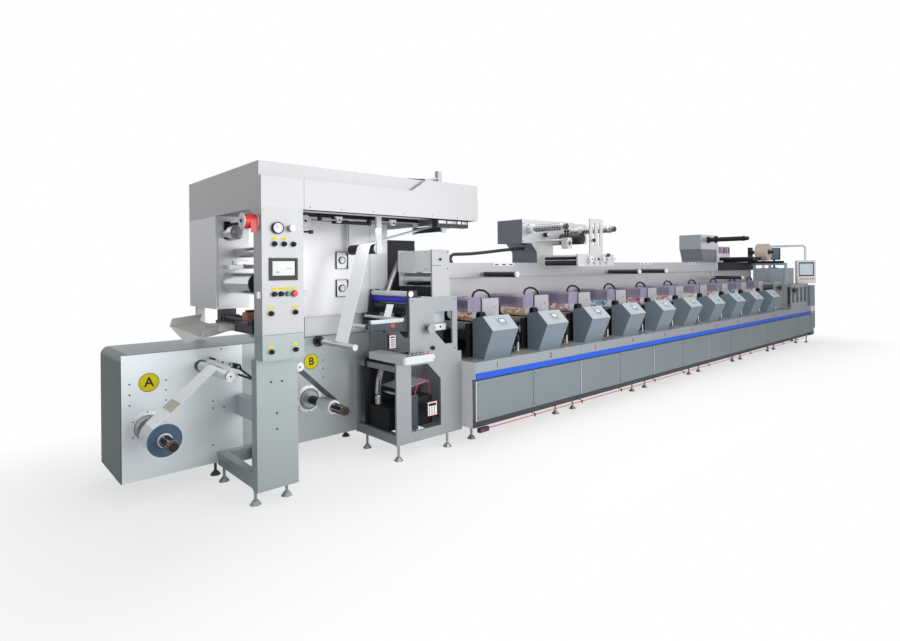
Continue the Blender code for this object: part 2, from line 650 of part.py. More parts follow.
def build_tower(press):
    """Base rails, column, operator panel, canopy and the two cabinets under it."""
    rail_z = (COLUMN_BOTTOM, COLUMN_BOTTOM + RAIL_HEIGHT)
    rear = -0.004
    front = TOWER_FRONT + COLUMN_DEPTH + GAP
    inset = TOWER_FOOT_INSET
    press.add("tower_base", "silver_paint", [
        box((0, RAIL_WIDTH), (front, rear), rail_z),
        box((TOWER_WIDTH - RAIL_WIDTH, TOWER_WIDTH), (front, rear), rail_z),
        box((RAIL_WIDTH - BITE, TOWER_WIDTH - RAIL_WIDTH + BITE), (front, front + RAIL_WIDTH),
            rail_z),
        box((RAIL_WIDTH - BITE, TOWER_WIDTH - RAIL_WIDTH + BITE), (rear - RAIL_WIDTH, rear),
            rail_z),
        *feet([(inset, front + inset), (TOWER_WIDTH - inset, front + inset),
               (inset, rear - inset), (TOWER_WIDTH - inset, rear - inset)], COLUMN_BOTTOM),
    ])
    press.add("tower_column", "silver_paint", [
        box((0, TOWER_WIDTH), (TOWER_FRONT, TOWER_FRONT + COLUMN_DEPTH),
            (COLUMN_BOTTOM - 0.01, PANEL_BOTTOM - GAP))])
    face = PANEL_FRONT + BITE
    side_y = PANEL_FRONT + 0.025
    knobs = [(TOUCH_X0 + 0.037 + 0.069 * i, TOUCH_Z1 + 0.096) for i in range(3)]
    knobs += [(TOUCH_X0 + 0.033 + 0.048 * i, TOUCH_Z0 - 0.092) for i in range(4)]
    knobs += [(TOUCH_X0 + x, PANEL_BOTTOM + rise) for x in (0.010, 0.185)
              for rise in (0.321, 0.062)]
    grip = (TOUCH_Z0 - 0.118, TOUCH_Z0 - 0.073)
    handles = [box(x, (side_y - 0.012, side_y + 0.012), grip)
               for x in ((-0.030, BITE), (TOWER_WIDTH - BITE, TOWER_WIDTH + 0.030))]
    press.add("operator_panel", "silver_paint", [
        box((0, TOWER_WIDTH), (PANEL_FRONT, PANEL_FRONT + PANEL_DEPTH),
            (PANEL_BOTTOM, CANOPY_BOTTOM - GAP)),
        box((TOUCH_X0, TOUCH_X1), (PANEL_FRONT - 0.010, face), (TOUCH_Z0, TOUCH_Z1)),
        rod((GAUGE_X, PANEL_FRONT - 0.022, GAUGE_Z), (GAUGE_X, face, GAUGE_Z), GAUGE_R),
        rod((GAUGE_X + 0.095, PANEL_FRONT - 0.045, GAUGE_Z), (GAUGE_X + 0.095, face, GAUGE_Z),
            GAUGE_R * 0.6, sides=12),
        *[rod((x, PANEL_FRONT - 0.020, z), (x, face, z), KNOB_R, sides=8) for x, z in knobs],
        *handles,
    ], cuts=[box((TOUCH_X0 + 0.016, TOUCH_X1 - 0.016), (PANEL_FRONT - 0.050, PANEL_FRONT - 0.005),
                 (TOUCH_Z0 + 0.016, TOUCH_Z1 - 0.016))])
    step_y = CANOPY_FRONT + CANOPY_STEP_BACK
    lug_y = ROOF_TRACK_FRONT + 0.030
    press.add("canopy", "silver_paint", [
        outline([(CANOPY_FRONT, CANOPY_BOTTOM), (CANOPY_FRONT, CANOPY_STEP_Z),
                 (step_y, CANOPY_STEP_Z), (step_y, CANOPY_TOP), (CANOPY_REAR, CANOPY_TOP),
                 (CANOPY_REAR, CANOPY_BOTTOM)], 0, CANOPY_LENGTH, "YZ"),
        outline([(CANOPY_STEP_X0, CANOPY_STEP_Z - 0.02), (CANOPY_STEP_X0, CANOPY_STEP_Z),
                 (CANOPY_STEP_X1, CANOPY_TOP), (CANOPY_LENGTH, CANOPY_TOP),
                 (CANOPY_LENGTH, CANOPY_STEP_Z - 0.02)],
                CANOPY_FRONT, step_y + BITE),
        outline([(ROOF_TRACK_X0, CANOPY_TOP - BITE), (ROOF_TRACK_X0, CANOPY_TOP + BITE),
                 (ROOF_TRACK_X1, CANOPY_TOP + ROOF_TRACK_RISE),
                 (ROOF_TRACK_X1, CANOPY_TOP - BITE)], ROOF_TRACK_FRONT, ROOF_TRACK_REAR),
        rod((ROOF_TRACK_X1 - BITE, lug_y, CANOPY_TOP + 0.030),
            (ROOF_LUG_X1 - 0.020, lug_y, CANOPY_TOP + ROOF_LUG_RISE * 0.6), 0.016, sides=10),
        box((ROOF_LUG_X1 - 0.050, ROOF_LUG_X1), (lug_y - 0.020, lug_y + 0.020),
            (CANOPY_TOP - BITE, CANOPY_TOP + ROOF_LUG_RISE)),
    ], cuts=[box((TOWER_WIDTH + 0.006, CANOPY_LENGTH - SHEET),
                 (CANOPY_FRONT + SHEET, -0.020), (CANOPY_BOTTOM - 0.1, CANOPY_DECK))])
    press.add("tower_cabinet_left", "silver_paint", [
        box((0, CAB_LEFT_WIDTH), (0, CANOPY_REAR), (CAB_LEFT_BOTTOM, CANOPY_BOTTOM - GAP)),
        box((0.03, 0.09), (CANOPY_REAR - 0.10, CANOPY_REAR - 0.04),
            (CASE_TOP + GAP, CAB_LEFT_BOTTOM + BITE)),
    ])
    press.add("tower_cabinet_right", "pale_paint", [
        box((CAB_RIGHT_X0, CAB_RIGHT_X1), (0, CANOPY_REAR),
            (CAB_RIGHT_BOTTOM, CANOPY_BOTTOM - GAP)),
        box((CAB_RIGHT_X0 + 0.05, CASE_RIGHT - 0.02), (0.05, CANOPY_REAR - 0.05),
            (CASE_TOP + GAP, CAB_RIGHT_BOTTOM + BITE)),
        *[box((CAB_RIGHT_X0 + 0.345, CAB_RIGHT_X0 + 0.345 + width), (-0.006, BITE), (z, z + 0.100))
          for width, z in ((0.165, 1.673), (0.210, 1.420))],
        *[rod((CAB_RIGHT_X0 + 0.395, -0.018, z), (CAB_RIGHT_X0 + 0.395, BITE, z), 0.030, sides=14)
          for z in (1.725, 1.470)],
    ])
    plate_x = (0.015, CAB_LEFT_WIDTH - 0.015)
    top = CANOPY_BOTTOM
    drum_z = CAB_LEFT_BOTTOM + 0.205
    press.add("tower_rollers", "roller", [
        box(plate_x, (-0.012, -GAP), (CAB_LEFT_BOTTOM + 0.02, CANOPY_BOTTOM - 0.02)),
        rod((0.110, -0.010, drum_z), (0.110, -0.560, drum_z), 0.080, sides=28),
        rod((0.110, -0.550, drum_z), (0.110, -0.600, drum_z), 0.030, sides=12),
        rod((0.170, -0.010, top - 0.290), (0.170, -0.470, top - 0.290), 0.040),
        rod((0.060, -0.010, top - 0.140), (0.060, -0.300, top - 0.140), 0.030, sides=12),
        rod((0.060, -0.200, top - 0.140), (0.060, -0.290, top - 0.140), 0.055, sides=16),
        rod((0.150, -0.010, top - 0.070), (0.150, -0.340, top - 0.070), 0.015, sides=10),
        rod((0.150, -0.300, top - 0.070), (0.150, -0.330, top - 0.070), 0.052, sides=24),
        box((0.050, 0.200), (-0.420, -0.010), (drum_z + 0.110, drum_z + 0.140)),
    ])
    press.add("roller_c", "black_metal", [
        rod((ROLLER_C_X, -GAP, ROLLER_C_Z), (ROLLER_C_X, -0.02, ROLLER_C_Z), ROLLER_C_R * 1.9),
        rod((ROLLER_C_X, -0.018, ROLLER_C_Z), (ROLLER_C_X, ROLLER_FRONT, ROLLER_C_Z),
            ROLLER_C_R),
    ])
    arm_top = CANOPY_DECK - GAP
    arms = []
    for y in (ROLLER_D_FRONT, ROLLER_D_REAR - 0.02):
        arms.append(box((ROLLER_D_X - 0.025, ROLLER_D_X + 0.025), (y, y + 0.02),
                        (ROLLER_D_Z - 0.04, arm_top)))
        arms.append(box((ROLLER_E_X - 0.025, ROLLER_E_X + 0.025), (y, y + 0.02),
                        (ROLLER_E_Z - 0.04, arm_top)))
    end = ROLLER_E_X + 0.040
    rails = [box((TOWER_WIDTH + 0.147, end), (y, y + 0.02), (CANOPY_BOTTOM + 0.02, arm_top))
             for y in (ROLLER_D_FRONT, ROLLER_D_REAR - 0.02)]
    press.add("canopy_rollers", "black_metal", [
        *rails, *arms,
        *[rod((x, ROLLER_D_FRONT + 0.01, z), (x, ROLLER_D_REAR - 0.01, z), r)
          for x, z, r in ((ROLLER_D_X, ROLLER_D_Z, ROLLER_D_R),
                          (ROLLER_E_X, ROLLER_E_Z, ROLLER_E_R),
                          (TOWER_WIDTH + 0.317, CANOPY_BOTTOM + 0.050, ROLLER_E_R),
                          (ROLLER_D_X + 0.235, CANOPY_BOTTOM + 0.060, ROLLER_E_R + 0.005))],
        box((end - LIGHT_BOX_LENGTH, end), (LIGHT_BOX_FRONT, LIGHT_BOX_REAR),
            (CANOPY_BOTTOM - 0.065, CANOPY_BOTTOM + 0.080)),
        box((end - LIGHT_BOX_LENGTH, end), (LIGHT_BOX_FRONT, ROLLER_D_FRONT + BITE),
            (CANOPY_BOTTOM + 0.070, arm_top)),
    ])
    keel = [(0, TRAY_LIP), (0, 0), (TRAY_WIDTH * 0.4, -TRAY_KEEL), (TRAY_WIDTH, 0),
            (TRAY_WIDTH, TRAY_LIP), (TRAY_WIDTH - TRAY_SHEET, TRAY_LIP),
            (TRAY_WIDTH - TRAY_SHEET, TRAY_SHEET), (TRAY_SHEET, TRAY_SHEET), (TRAY_SHEET, TRAY_LIP)]
    tray = [outline(keel, 0, TRAY_LENGTH, "YZ")]
    tray[0].transform(Matrix.Translation(TRAY_CORNER) @ Matrix.Rotation(TRAY_TURN, 4, "Z")
                      @ Matrix.Rotation(TRAY_TILT, 4, "X"))
    beam_mid = (BEAM_X0 + BEAM_X1) / 2
    tray += [box((BEAM_X0, BEAM_X1), (BEAM_FRONT, 0.100), (BEAM_Z0, BEAM_Z1)),
             box((BEAM_X0 + 0.010, BEAM_X1 - 0.010), (0.010, 0.090),
                 (BEAM_Z1 - BITE, CAB_LEFT_BOTTOM - GAP)),
             box((BEAM_X0 - 0.120, BEAM_X0 + BITE), (-0.300, -0.060), (BEAM_Z0 + 0.006, BEAM_Z1 - 0.010)),
             *[rod((x, BEAM_FRONT + 0.040, BEAM_Z1 + 0.030), (x, -0.020, BEAM_Z1 + 0.030), 0.012,
                   sides=10) for x in (beam_mid - 0.045, beam_mid + 0.045)],
             *[box((BEAM_X0 + 0.008, BEAM_X1 - 0.008), (y, y + 0.020), (BEAM_Z1 - BITE, BEAM_Z1 + 0.045))
               for y in (BEAM_FRONT + 0.030, -0.050)]]
    press.add("splice_tray", "brushed_steel", tray)


def arc_points(centre, radius, start, end, steps=5):
    """Points on the arc from one contact point to another, the short way round."""
    first = math.atan2(start[1] - centre[1], start[0] - centre[0])
    turn = math.atan2(end[1] - centre[1], end[0] - centre[0]) - first
    turn = (turn + math.pi) % (2 * math.pi) - math.pi
    return [(centre[0] + radius * math.cos(first + turn * i / steps),
             centre[1] + radius * math.sin(first + turn * i / steps)) for i in range(steps + 1)]


def ribbon(points, front, width, thick=WEB_THICK):
    """A web that follows a line of points in the x-z plane."""
    line = [Vector(point) for point in points]
    left = []
    right = []
    for i, point in enumerate(line):
        before = (point - line[i - 1]).normalized() if i else None
        after = (line[i + 1] - point).normalized() if i + 1 < len(line) else None
        heading = ((before or after) + (after or before)).normalized()
        side = Vector((-heading.y, heading.x)) * thick / 2
        left.append(tuple(point + side))
        right.append(tuple(point - side))
    return outline(left + right[::-1], front, front + width)


def build_web(press):
    """The label stock, from both reels over the guide rollers and up into the canopy."""
    z = SPINDLE_Z
    off = GAP + WEB_THICK / 2
    for label, sx, rx, reel_r in (("a", SPINDLE_A_X, ROLLER_A_X, REEL_A_R),
                                  ("b", SPINDLE_B_X, ROLLER_B_X, REEL_B_R)):
        side = 1 if rx > sx else -1
        start, end = tangent((sx, z, reel_r + WEB_CLEAR), (rx, ROLLER_AB_Z, ROLLER_R + off),
                             side, side)
        press.add(f"web_{label}", "web", [ribbon([start, end], WEB_FRONT, WEB_WIDTH)])
    wrap_c = (ROLLER_C_X, ROLLER_C_Z, ROLLER_C_R + off)
    wrap_d = (ROLLER_D_X, ROLLER_D_Z, ROLLER_D_R + off)
    wrap_e = (ROLLER_E_X, ROLLER_E_Z, ROLLER_E_R + off)
    leave_c, reach_d = tangent(wrap_c, wrap_d, -1, 1)
    leave_d, reach_e = tangent(wrap_d, wrap_e, 1, 1)
    under = (ROLLER_C_X, ROLLER_C_Z - ROLLER_C_R - off)
    path = [*arc_points(wrap_c[:2], wrap_c[2], under, leave_c, 4),
            *arc_points(wrap_d[:2], wrap_d[2], reach_d, leave_d, 5), tuple(reach_e)]
    press.add("web_main", "web", [ribbon(path, WEB_FRONT, WEB_WIDTH)])


def build_infeed(press):
    """The infeed frame with its desk, nip rollers and surface treater."""
    right = MODULE_START - GAP
    side = [(FRAME_X0, FRAME_BOTTOM), (right, FRAME_BOTTOM),
            (right, FRAME_STEP_Z), (FRAME_UPPER_X1, FRAME_STEP_Z),
            (FRAME_UPPER_X1, FRAME_TOP), (FRAME_UPPER_X0, FRAME_TOP),
            (FRAME_UPPER_X0, DESK_BOTTOM - GAP), (FRAME_X0, DESK_BOTTOM - GAP)]
    bay = [(FRAME_X0 + FRAME_LEG, BAY_Z0), (BAY_X1, BAY_Z0), (BAY_X1, BAY_Z1 - BAY_CHAMFER),
           (BAY_X1 - BAY_CHAMFER, BAY_Z1), (FRAME_X0 + FRAME_LEG, BAY_Z1)]
    window = [(WINDOW_X0, WINDOW_Z0 + 0.125), (WINDOW_X0 + 0.130, WINDOW_Z0),
              (WINDOW_X1, WINDOW_Z0), (WINDOW_X1, WINDOW_Z1), (WINDOW_X0, WINDOW_Z1)]
    front_far = FRAME_FRONT + PLATE
    inset = 0.004
    low_z = (FRAME_BOTTOM + inset, BAY_Z0 - inset)
    ties = [box((FRAME_X0 + inset, FRAME_X0 + FRAME_LEG * 0.4),
                (front_far - BITE, FRAME_REAR + BITE), low_z),
            box((BAY_X1 + 0.02, right - 0.04), (front_far - BITE, FRAME_REAR + BITE), low_z),
            box((FRAME_X0 + 0.02, FRAME_X0 + 0.10), (front_far - BITE, FRAME_REAR + BITE),
                (DESK_BOTTOM - 0.08, DESK_BOTTOM - 0.03)),
            rod((FRAME_UPPER_X1 - 0.06, front_far - BITE, FRAME_TOP - 0.06),
                (FRAME_UPPER_X1 - 0.06, FRAME_REAR + BITE, FRAME_TOP - 0.06), 0.02, sides=12)]
    press.add("infeed_frame", "silver_paint", [
        outline([side, bay, window], FRAME_FRONT, front_far),
        outline([side, bay, window], FRAME_REAR, FRAME_REAR + PLATE), *ties,
        rod((1.62, FRAME_FRONT + BITE, 1.11), (1.62, FRAME_FRONT - 0.05, 1.11), 0.012, sides=10),
        rod((1.62, FRAME_FRONT - 0.045, 1.11), (1.62, FRAME_FRONT - 0.065, 1.11), 0.045),
        *feet([(x, y) for x in (FRAME_X0 + FRAME_LEG * 0.2, FRAME_FOOT_RIGHT)
               for y in (FRAME_FOOT_FRONT, FRAME_FOOT_REAR)], FRAME_BOTTOM),
    ])
    corner = DESK_CORNER
    front_arcs = [(DESK_X0 + corner - corner * math.cos(t), DESK_FRONT + corner - corner * math.sin(t))
                  for t in [i * math.pi / 8 for i in range(5)]]
    front_arcs += [(DESK_X1 - corner + corner * math.sin(t), DESK_FRONT + corner - corner * math.cos(t))
                   for t in [i * math.pi / 8 for i in range(5)]]
    desk = [*front_arcs, (DESK_X1, FRAME_FRONT - GAP), (FRAME_UPPER_X0 - GAP, FRAME_FRONT - GAP),
            (FRAME_UPPER_X0 - GAP, DESK_REAR), (DESK_X0, DESK_REAR)]
    press.add("control_desk", "silver_paint", [
        outline(desk, DESK_BOTTOM, DESK_TOP, "XY"),
        *[rod((DESK_X1 - 0.035 - 0.045 * i, DESK_FRONT + 0.045, DESK_TOP - BITE),
              (DESK_X1 - 0.035 - 0.045 * i, DESK_FRONT + 0.045, DESK_TOP + 0.014), 0.014, sides=10)
          for i in range(6)],
        rod((DESK_X1 - BITE, DESK_FRONT + 0.050, DESK_BOTTOM + 0.030),
            (DESK_X1 + 0.025, DESK_FRONT + 0.050, DESK_BOTTOM + 0.030), 0.020, sides=12),
    ])
    base = FRAME_TOP + GAP
    drum_z = TREATER_HOOD_Z - TREATER_DRUM_R - 0.010
    mid = (TREATER_X0 + TREATER_X1) / 2
    rear = TREATER_REAR - PLATE
    press.add("surface_treater", "brushed_steel", [
        box((TREATER_X0, TREATER_X1), (FRAME_FRONT, FRAME_FRONT + PLATE), (base, TREATER_TOP)),
        box((TREATER_X0, TREATER_X1), (rear, TREATER_REAR), (TREATER_HOOD_Z - 0.150, TREATER_TOP)),
        box((TREATER_X0 + 0.006, TREATER_X1 - 0.006), (front_far - BITE, rear + BITE),
            (TREATER_HOOD_Z, TREATER_TOP - 0.006)),
        rod((mid, front_far - BITE, drum_z), (mid, rear + BITE, drum_z), TREATER_DRUM_R, sides=24),
        box((TREATER_X0 + 0.020, TREATER_X1 - 0.020), (front_far - BITE, rear),
            (base, drum_z - TREATER_DRUM_R - 0.006)),
        hose([(mid, rear + 0.010, TREATER_TOP - 0.060), (mid, -0.075, TREATER_TOP - 0.050),
              (mid - 0.040, -0.045, TREATER_TOP - 0.100), (mid - 0.130, -0.045, FRAME_TOP + 0.150),
              (mid - 0.180, -0.045, FRAME_TOP + DUCT_R)], DUCT_R),
    ])
    nip_front = (front_far + GAP, front_far + GAP + NIP_SHEET)
    nip_rear = (FRAME_REAR - GAP - NIP_SHEET, FRAME_REAR - GAP)
    cheek = [(NIP_X0, NIP_Z0), (NIP_X1, NIP_Z0), (NIP_X1, NIP_Z1), (NIP_X0 + 0.085, NIP_Z1),
             (NIP_X0 + 0.060, NIP_Z1 - 0.210), (NIP_X0, NIP_Z1 - 0.230)]
    inner = nip_front[1] - BITE
    outer = nip_rear[0] + BITE
    press.add("nip_rollers", "roller", [
        outline(cheek, *nip_front), outline(cheek, *nip_rear),
        *[rod((NIP_X0 + x, inner, NIP_Z1 - z), (NIP_X0 + x, outer, NIP_Z1 - z), r, sides=18)
          for x, z, r in ((0.118, 0.030, 0.024), (0.125, 0.085, 0.028), (0.115, 0.145, 0.027),
                          (0.150, 0.195, 0.022), (0.022, 0.245, 0.013))],
        box((NIP_X0 + 0.004, NIP_X0 + 0.034), (inner, outer), (NIP_Z0 + 0.010, NIP_Z0 + 0.065)),
    ])
    cab_front = BACK_DEPTH + GAP
    press.add("rear_cabinet", "black_metal", [
        box((REAR_CAB_X0, REAR_CAB_X1), (cab_front, CANOPY_REAR), (FRAME_BOTTOM,
                                                                        REAR_CAB_TOP)),
        *feet([(REAR_CAB_X0 + 0.06, cab_front + 0.06),
               (REAR_CAB_X1 - 0.06, CANOPY_REAR - 0.06)], FRAME_BOTTOM),
    ])


def build_base(press):
    """Six base modules on levelling feet, the blue stripe and the end cabinet."""
    length = MODULE_PITCH - MODULE_SEAM
    inner = BASE_FRONT + KICK_BACK
    mid = length / 2
    for i in range(MODULE_COUNT):
        panels = [box((0.006, mid - 0.003), (BASE_FRONT, inner), (PANEL_Z0, PANEL_Z1)),
                  box((mid + 0.003, length - 0.006), (BASE_FRONT, inner), (PANEL_Z0, PANEL_Z1))]
        press.add(f"base_module_{i + 1}", "silver_paint", [
            box((0, length), (inner - BITE, BASE_REAR), (KICK_Z0, BED_Z)),
            box((0, length), (BASE_FRONT, inner), (BAND_Z0, BED_Z)),
            *panels,
            *feet([(FOOT_INSET_X, BASE_FRONT + FOOT_INSET_Y),
                   (length - FOOT_INSET_X, BASE_FRONT + FOOT_INSET_Y),
                   (FOOT_INSET_X, BASE_REAR - 0.10), (length - FOOT_INSET_X, BASE_REAR - 0.10)],
                  KICK_Z0),
        ], at=(MODULE_START + i * MODULE_PITCH, 0, 0))
    end = MODULE_START + MODULE_COUNT * MODULE_PITCH
    press.add("blue_stripe", "blue_stripe", [
        box((MODULE_START, end - MODULE_SEAM), (BASE_FRONT - BLUE_PROUD, BASE_FRONT - GAP),
            (BAND_Z0, BLUE_Z1))])
    press.add("end_cabinet", "silver_paint", [
        box((end - MODULE_SEAM + GAP, end + END_CAB_LENGTH), (BASE_FRONT, END_CAB_REAR),
            (END_CAB_Z0, END_CAB_TOP)),
        box((end + 0.02, end + END_CAB_LENGTH - 0.02), (BASE_FRONT + 0.02, END_CAB_REAR - 0.02),
            (KICK_Z0, END_CAB_Z0 + BITE)),
        *feet([(end + 0.06, BASE_FRONT + 0.10), (end + 0.06, END_CAB_REAR - 0.10)], KICK_Z0),
    ])


def console_pieces():
    """The control box of one print unit, with its slanted screen."""
    bed = BED_Z + GAP
    body = [(CONSOLE_FOOT_FRONT, bed), (CONSOLE_NOSE_Y, CONSOLE_NOSE_Z),
            (CONSOLE_BROW_Y, CONSOLE_BROW_Z), (CONSOLE_BACK_Y, CONSOLE_BACK_Z),
            (CONSOLE_BACK_Y, bed)]
    slope = (Vector((CONSOLE_BROW_Y, CONSOLE_BROW_Z)) - Vector((CONSOLE_NOSE_Y, CONSOLE_NOSE_Z)))
    out = Vector((-slope.y, slope.x)).normalized() * 0.003
    low = Vector((CONSOLE_NOSE_Y, CONSOLE_NOSE_Z)) + slope * 0.35
    high = Vector((CONSOLE_NOSE_Y, CONSOLE_NOSE_Z)) + slope * 0.75
    screen = [tuple(low - out), tuple(low + out), tuple(high + out), tuple(high - out)]
    return [outline(body, 0, CONSOLE_WIDTH, "YZ"),
            outline(screen, CONSOLE_WIDTH * 0.42, CONSOLE_WIDTH * 0.70, "YZ")]


def print_unit_pieces(x):
    """Side frames, cylinders, cover and ink hose of one print unit, at its place along x."""
    x0 = x + SIDE_X0
    x1 = x + SIDE_X1
    print_x = x + PRINT_X
    post_x = x + GUARD_X1 + 0.020
    lug_x = x + SIDE_LUG_X
    shape = [(x0, DECK_Z - BITE), (x0, SIDE_TOP), (lug_x, SIDE_TOP), (lug_x, SIDE_LUG_TOP),
             (post_x, SIDE_LUG_TOP), (post_x, PLATE_TOP),
             (x + PLATE_X1, PLATE_TOP), (x + PLATE_X1, SIDE_LOW), (x1, SIDE_LOW - 0.060),
             (x1, DECK_Z - BITE)]
    front = SIDE_FRONT + PLATE - BITE
    rear = SIDE_REAR + BITE
    rolls = [(print_x, PRINT_Z, PRINT_R, 16),
             (print_x + 0.150, PRINT_Z - 0.075, IMPRESSION_R, 14),
             (print_x - 0.115, PRINT_Z - 0.105, INKING_R, 12)]
    pieces = [outline(shape, SIDE_FRONT, SIDE_FRONT + PLATE),
              outline(shape, SIDE_REAR, SIDE_REAR + PLATE)]
    pieces += [rod((u, front, w), (u, rear, w), r, sides=n) for u, w, r, n in rolls]
    pieces.append(rod((print_x, SIDE_FRONT + BITE, PRINT_Z), (print_x, SIDE_FRONT - 0.025, PRINT_Z),
                      PRINT_R * 0.8, sides=10))
    pieces.append(box((print_x + 0.120, x1 - 0.010), (front, rear), (DECK_Z - BITE, 0.880)))
    top = GUARD_TOP
    hold_x = post_x + BITE
    cover = [(x + GUARD_X0, GUARD_BOTTOM), (x + GUARD_X0, top - GUARD_SLOPE),
             (x + GUARD_X0 + 0.030, top), (x + GUARD_X1, top), (hold_x, PLATE_TOP - 0.010),
             (hold_x, GUARD_BOTTOM)]
    pieces.append(outline(cover, SIDE_FRONT + 0.003, SIDE_FRONT + 0.003 + GUARD_SHEET))
    rear_y = SIDE_REAR + PLATE - 0.003
    pieces.append(outline(cover, rear_y - GUARD_SHEET, rear_y))
    pieces.append(outline([(x + GUARD_X0 + GUARD_SHEET, GUARD_BOTTOM + 0.005),
                           (x + GUARD_X0 + GUARD_SHEET, top - GUARD_SLOPE - 0.001),
                           (x + GUARD_X0 + 0.031, top - GUARD_SHEET),
                           (x + GUARD_X1 - 0.001, top - GUARD_SHEET), (x + GUARD_X1 - 0.001, top - 0.001),
                           (x + GUARD_X0 + 0.029, top - 0.001),
                           (x + GUARD_X0 + 0.001, top - GUARD_SLOPE),
                           (x + GUARD_X0 + 0.001, GUARD_BOTTOM + 0.005)],
                          SIDE_FRONT + 0.003 + GUARD_SHEET - 0.002, rear_y - GUARD_SHEET + 0.002))
    hose_x = print_x + 0.105
    drop_x = hose_x + HOSE_SPAN
    pieces.append(hose([(hose_x, HOSE_Y, PRINT_Z - 0.045),
                        *arch((hose_x, HOSE_Y, HOSE_SHOULDER), (drop_x, HOSE_Y, HOSE_SHOULDER - 0.030),
                              HOSE_RISE, 5),
                        (drop_x, HOSE_Y, DECK_Z - BITE)], HOSE_R))
    return pieces


def build_print_line(press):
    """Consoles, print units and the machine wall behind them."""
    console = None
    for i in range(2 * UNIT_MODULES):
        at = (MODULE_START + i * UNIT_PITCH + CONSOLE_X, 0, 0)
        if console is None:
            console = press.add("console_1", "grey_paint", console_pieces(), at=at)
        else:
            press.place(f"console_{i + 1}", console.data, at)
    unit = None
    for i in range(UNIT_MODULES):
        at = (MODULE_START + i * MODULE_PITCH, 0, 0)
        if unit is None:
            deck = box((0.10, UNIT_PITCH + SIDE_X1 + 0.11), (SIDE_FRONT, SIDE_REAR + PLATE),
                       (BED_Z + GAP, DECK_Z))
            unit = press.add("print_units_1", "black_metal",
                             [deck, *print_unit_pieces(0.0), *print_unit_pieces(UNIT_PITCH)],
                             at=at)
        else:
            press.place(f"print_units_{i + 1}", unit.data, at)
    end = MODULE_START + MODULE_COUNT * MODULE_PITCH - MODULE_SEAM
    press.add("machine_wall", "pale_paint", [
        box((BACK_X0, BACK_X1), (0, BACK_DEPTH), (BED_Z + GAP, BACK_TOP)),
        box((BACK_X1 - BITE, end), (0, BACK_DEPTH), (BED_Z + GAP, BACK_LOW_TOP)),
    ])
    press.add("top_rail", "brushed_steel", [
        box((BACK_X0, BACK_X1), (-RAIL_PROUD, 0.10), (BACK_TOP + GAP, RAIL_TOP)),
        box((BACK_X0, BACK_X1), (-RAIL_PROUD, -GAP), (IDLER_Z - IDLER_R, BACK_TOP + 0.01)),
        *[rod((x, -RAIL_PROUD + BITE, IDLER_Z), (x, IDLER_FRONT, IDLER_Z), IDLER_R, sides=16)
          for x in IDLER_X],
        box((LOW_IDLER_X - 0.045, LOW_IDLER_X + 0.045), (-RAIL_PROUD, -GAP),
            (LOW_IDLER_Z - 0.045, IDLER_Z - IDLER_R + BITE)),
        rod((LOW_IDLER_X, -RAIL_PROUD + BITE, LOW_IDLER_Z),
            (LOW_IDLER_X, IDLER_FRONT, LOW_IDLER_Z), IDLER_R, sides=16),
    ])


def rewind_spindle(press, name, finish, x, length, flange=0.0):
    """An air shaft that turns in the housing of an overhead rewind."""
    profile = [(REWIND_R * 1.5, GAP), (REWIND_R * 1.5, 0.025), (REWIND_R, 0.025)]
    if flange:
        profile += [(REWIND_R, 0.130), (flange, 0.130), (flange, 0.150), (REWIND_R, 0.150)]
    profile += [(REWIND_R, length * 0.86), (REWIND_R * 1.12, length * 0.86),
                (REWIND_R * 1.12, length * 0.90), (REWIND_R * 0.85, length * 0.90),
                (REWIND_R * 0.85, length - 0.010), (REWIND_R * 0.6, length)]
    press.add(name, finish, [turned(profile)], at=(x, REWIND_Y, REWIND_Z))


def housing_outline(x0, length, top, neck_bottom, start, lean, end, fall):
    """The side view of an overhead rewind housing, with its slanted neck."""
    neck = x0 + start
    return [(x0, OVER_BOTTOM), (x0, top), (x0 + length, top), (x0 + length, OVER_BOTTOM),
            (x0 + end, OVER_BOTTOM), (x0 + end, neck_bottom), (neck, neck_bottom),
            (neck, OVER_BOTTOM - fall), (neck - lean, OVER_BOTTOM)]


def supply_cable(base):
    """The black cable that rises from the top rail and runs into the first housing's neck."""
    bend = 0.045
    points = [(CABLE_X0, CABLE_Y, base), (CABLE_X0, CABLE_Y, CABLE_Z - bend),
              (CABLE_X0 + bend * 0.35, CABLE_Y, CABLE_Z - bend * 0.30),
              (CABLE_X0 + bend, CABLE_Y, CABLE_Z)]
    span = OVER_1_X0 + NECK_1_START + 0.020 - points[-1][0]
    for t in (0.20, 0.40, 0.60, 0.80, 1.0):
        rise = CABLE_RISE * t * t * (3.0 - 2.0 * t)
        points.append((CABLE_X0 + bend + span * t, CABLE_Y, CABLE_Z + rise))
    return hose(points, CABLE_R)


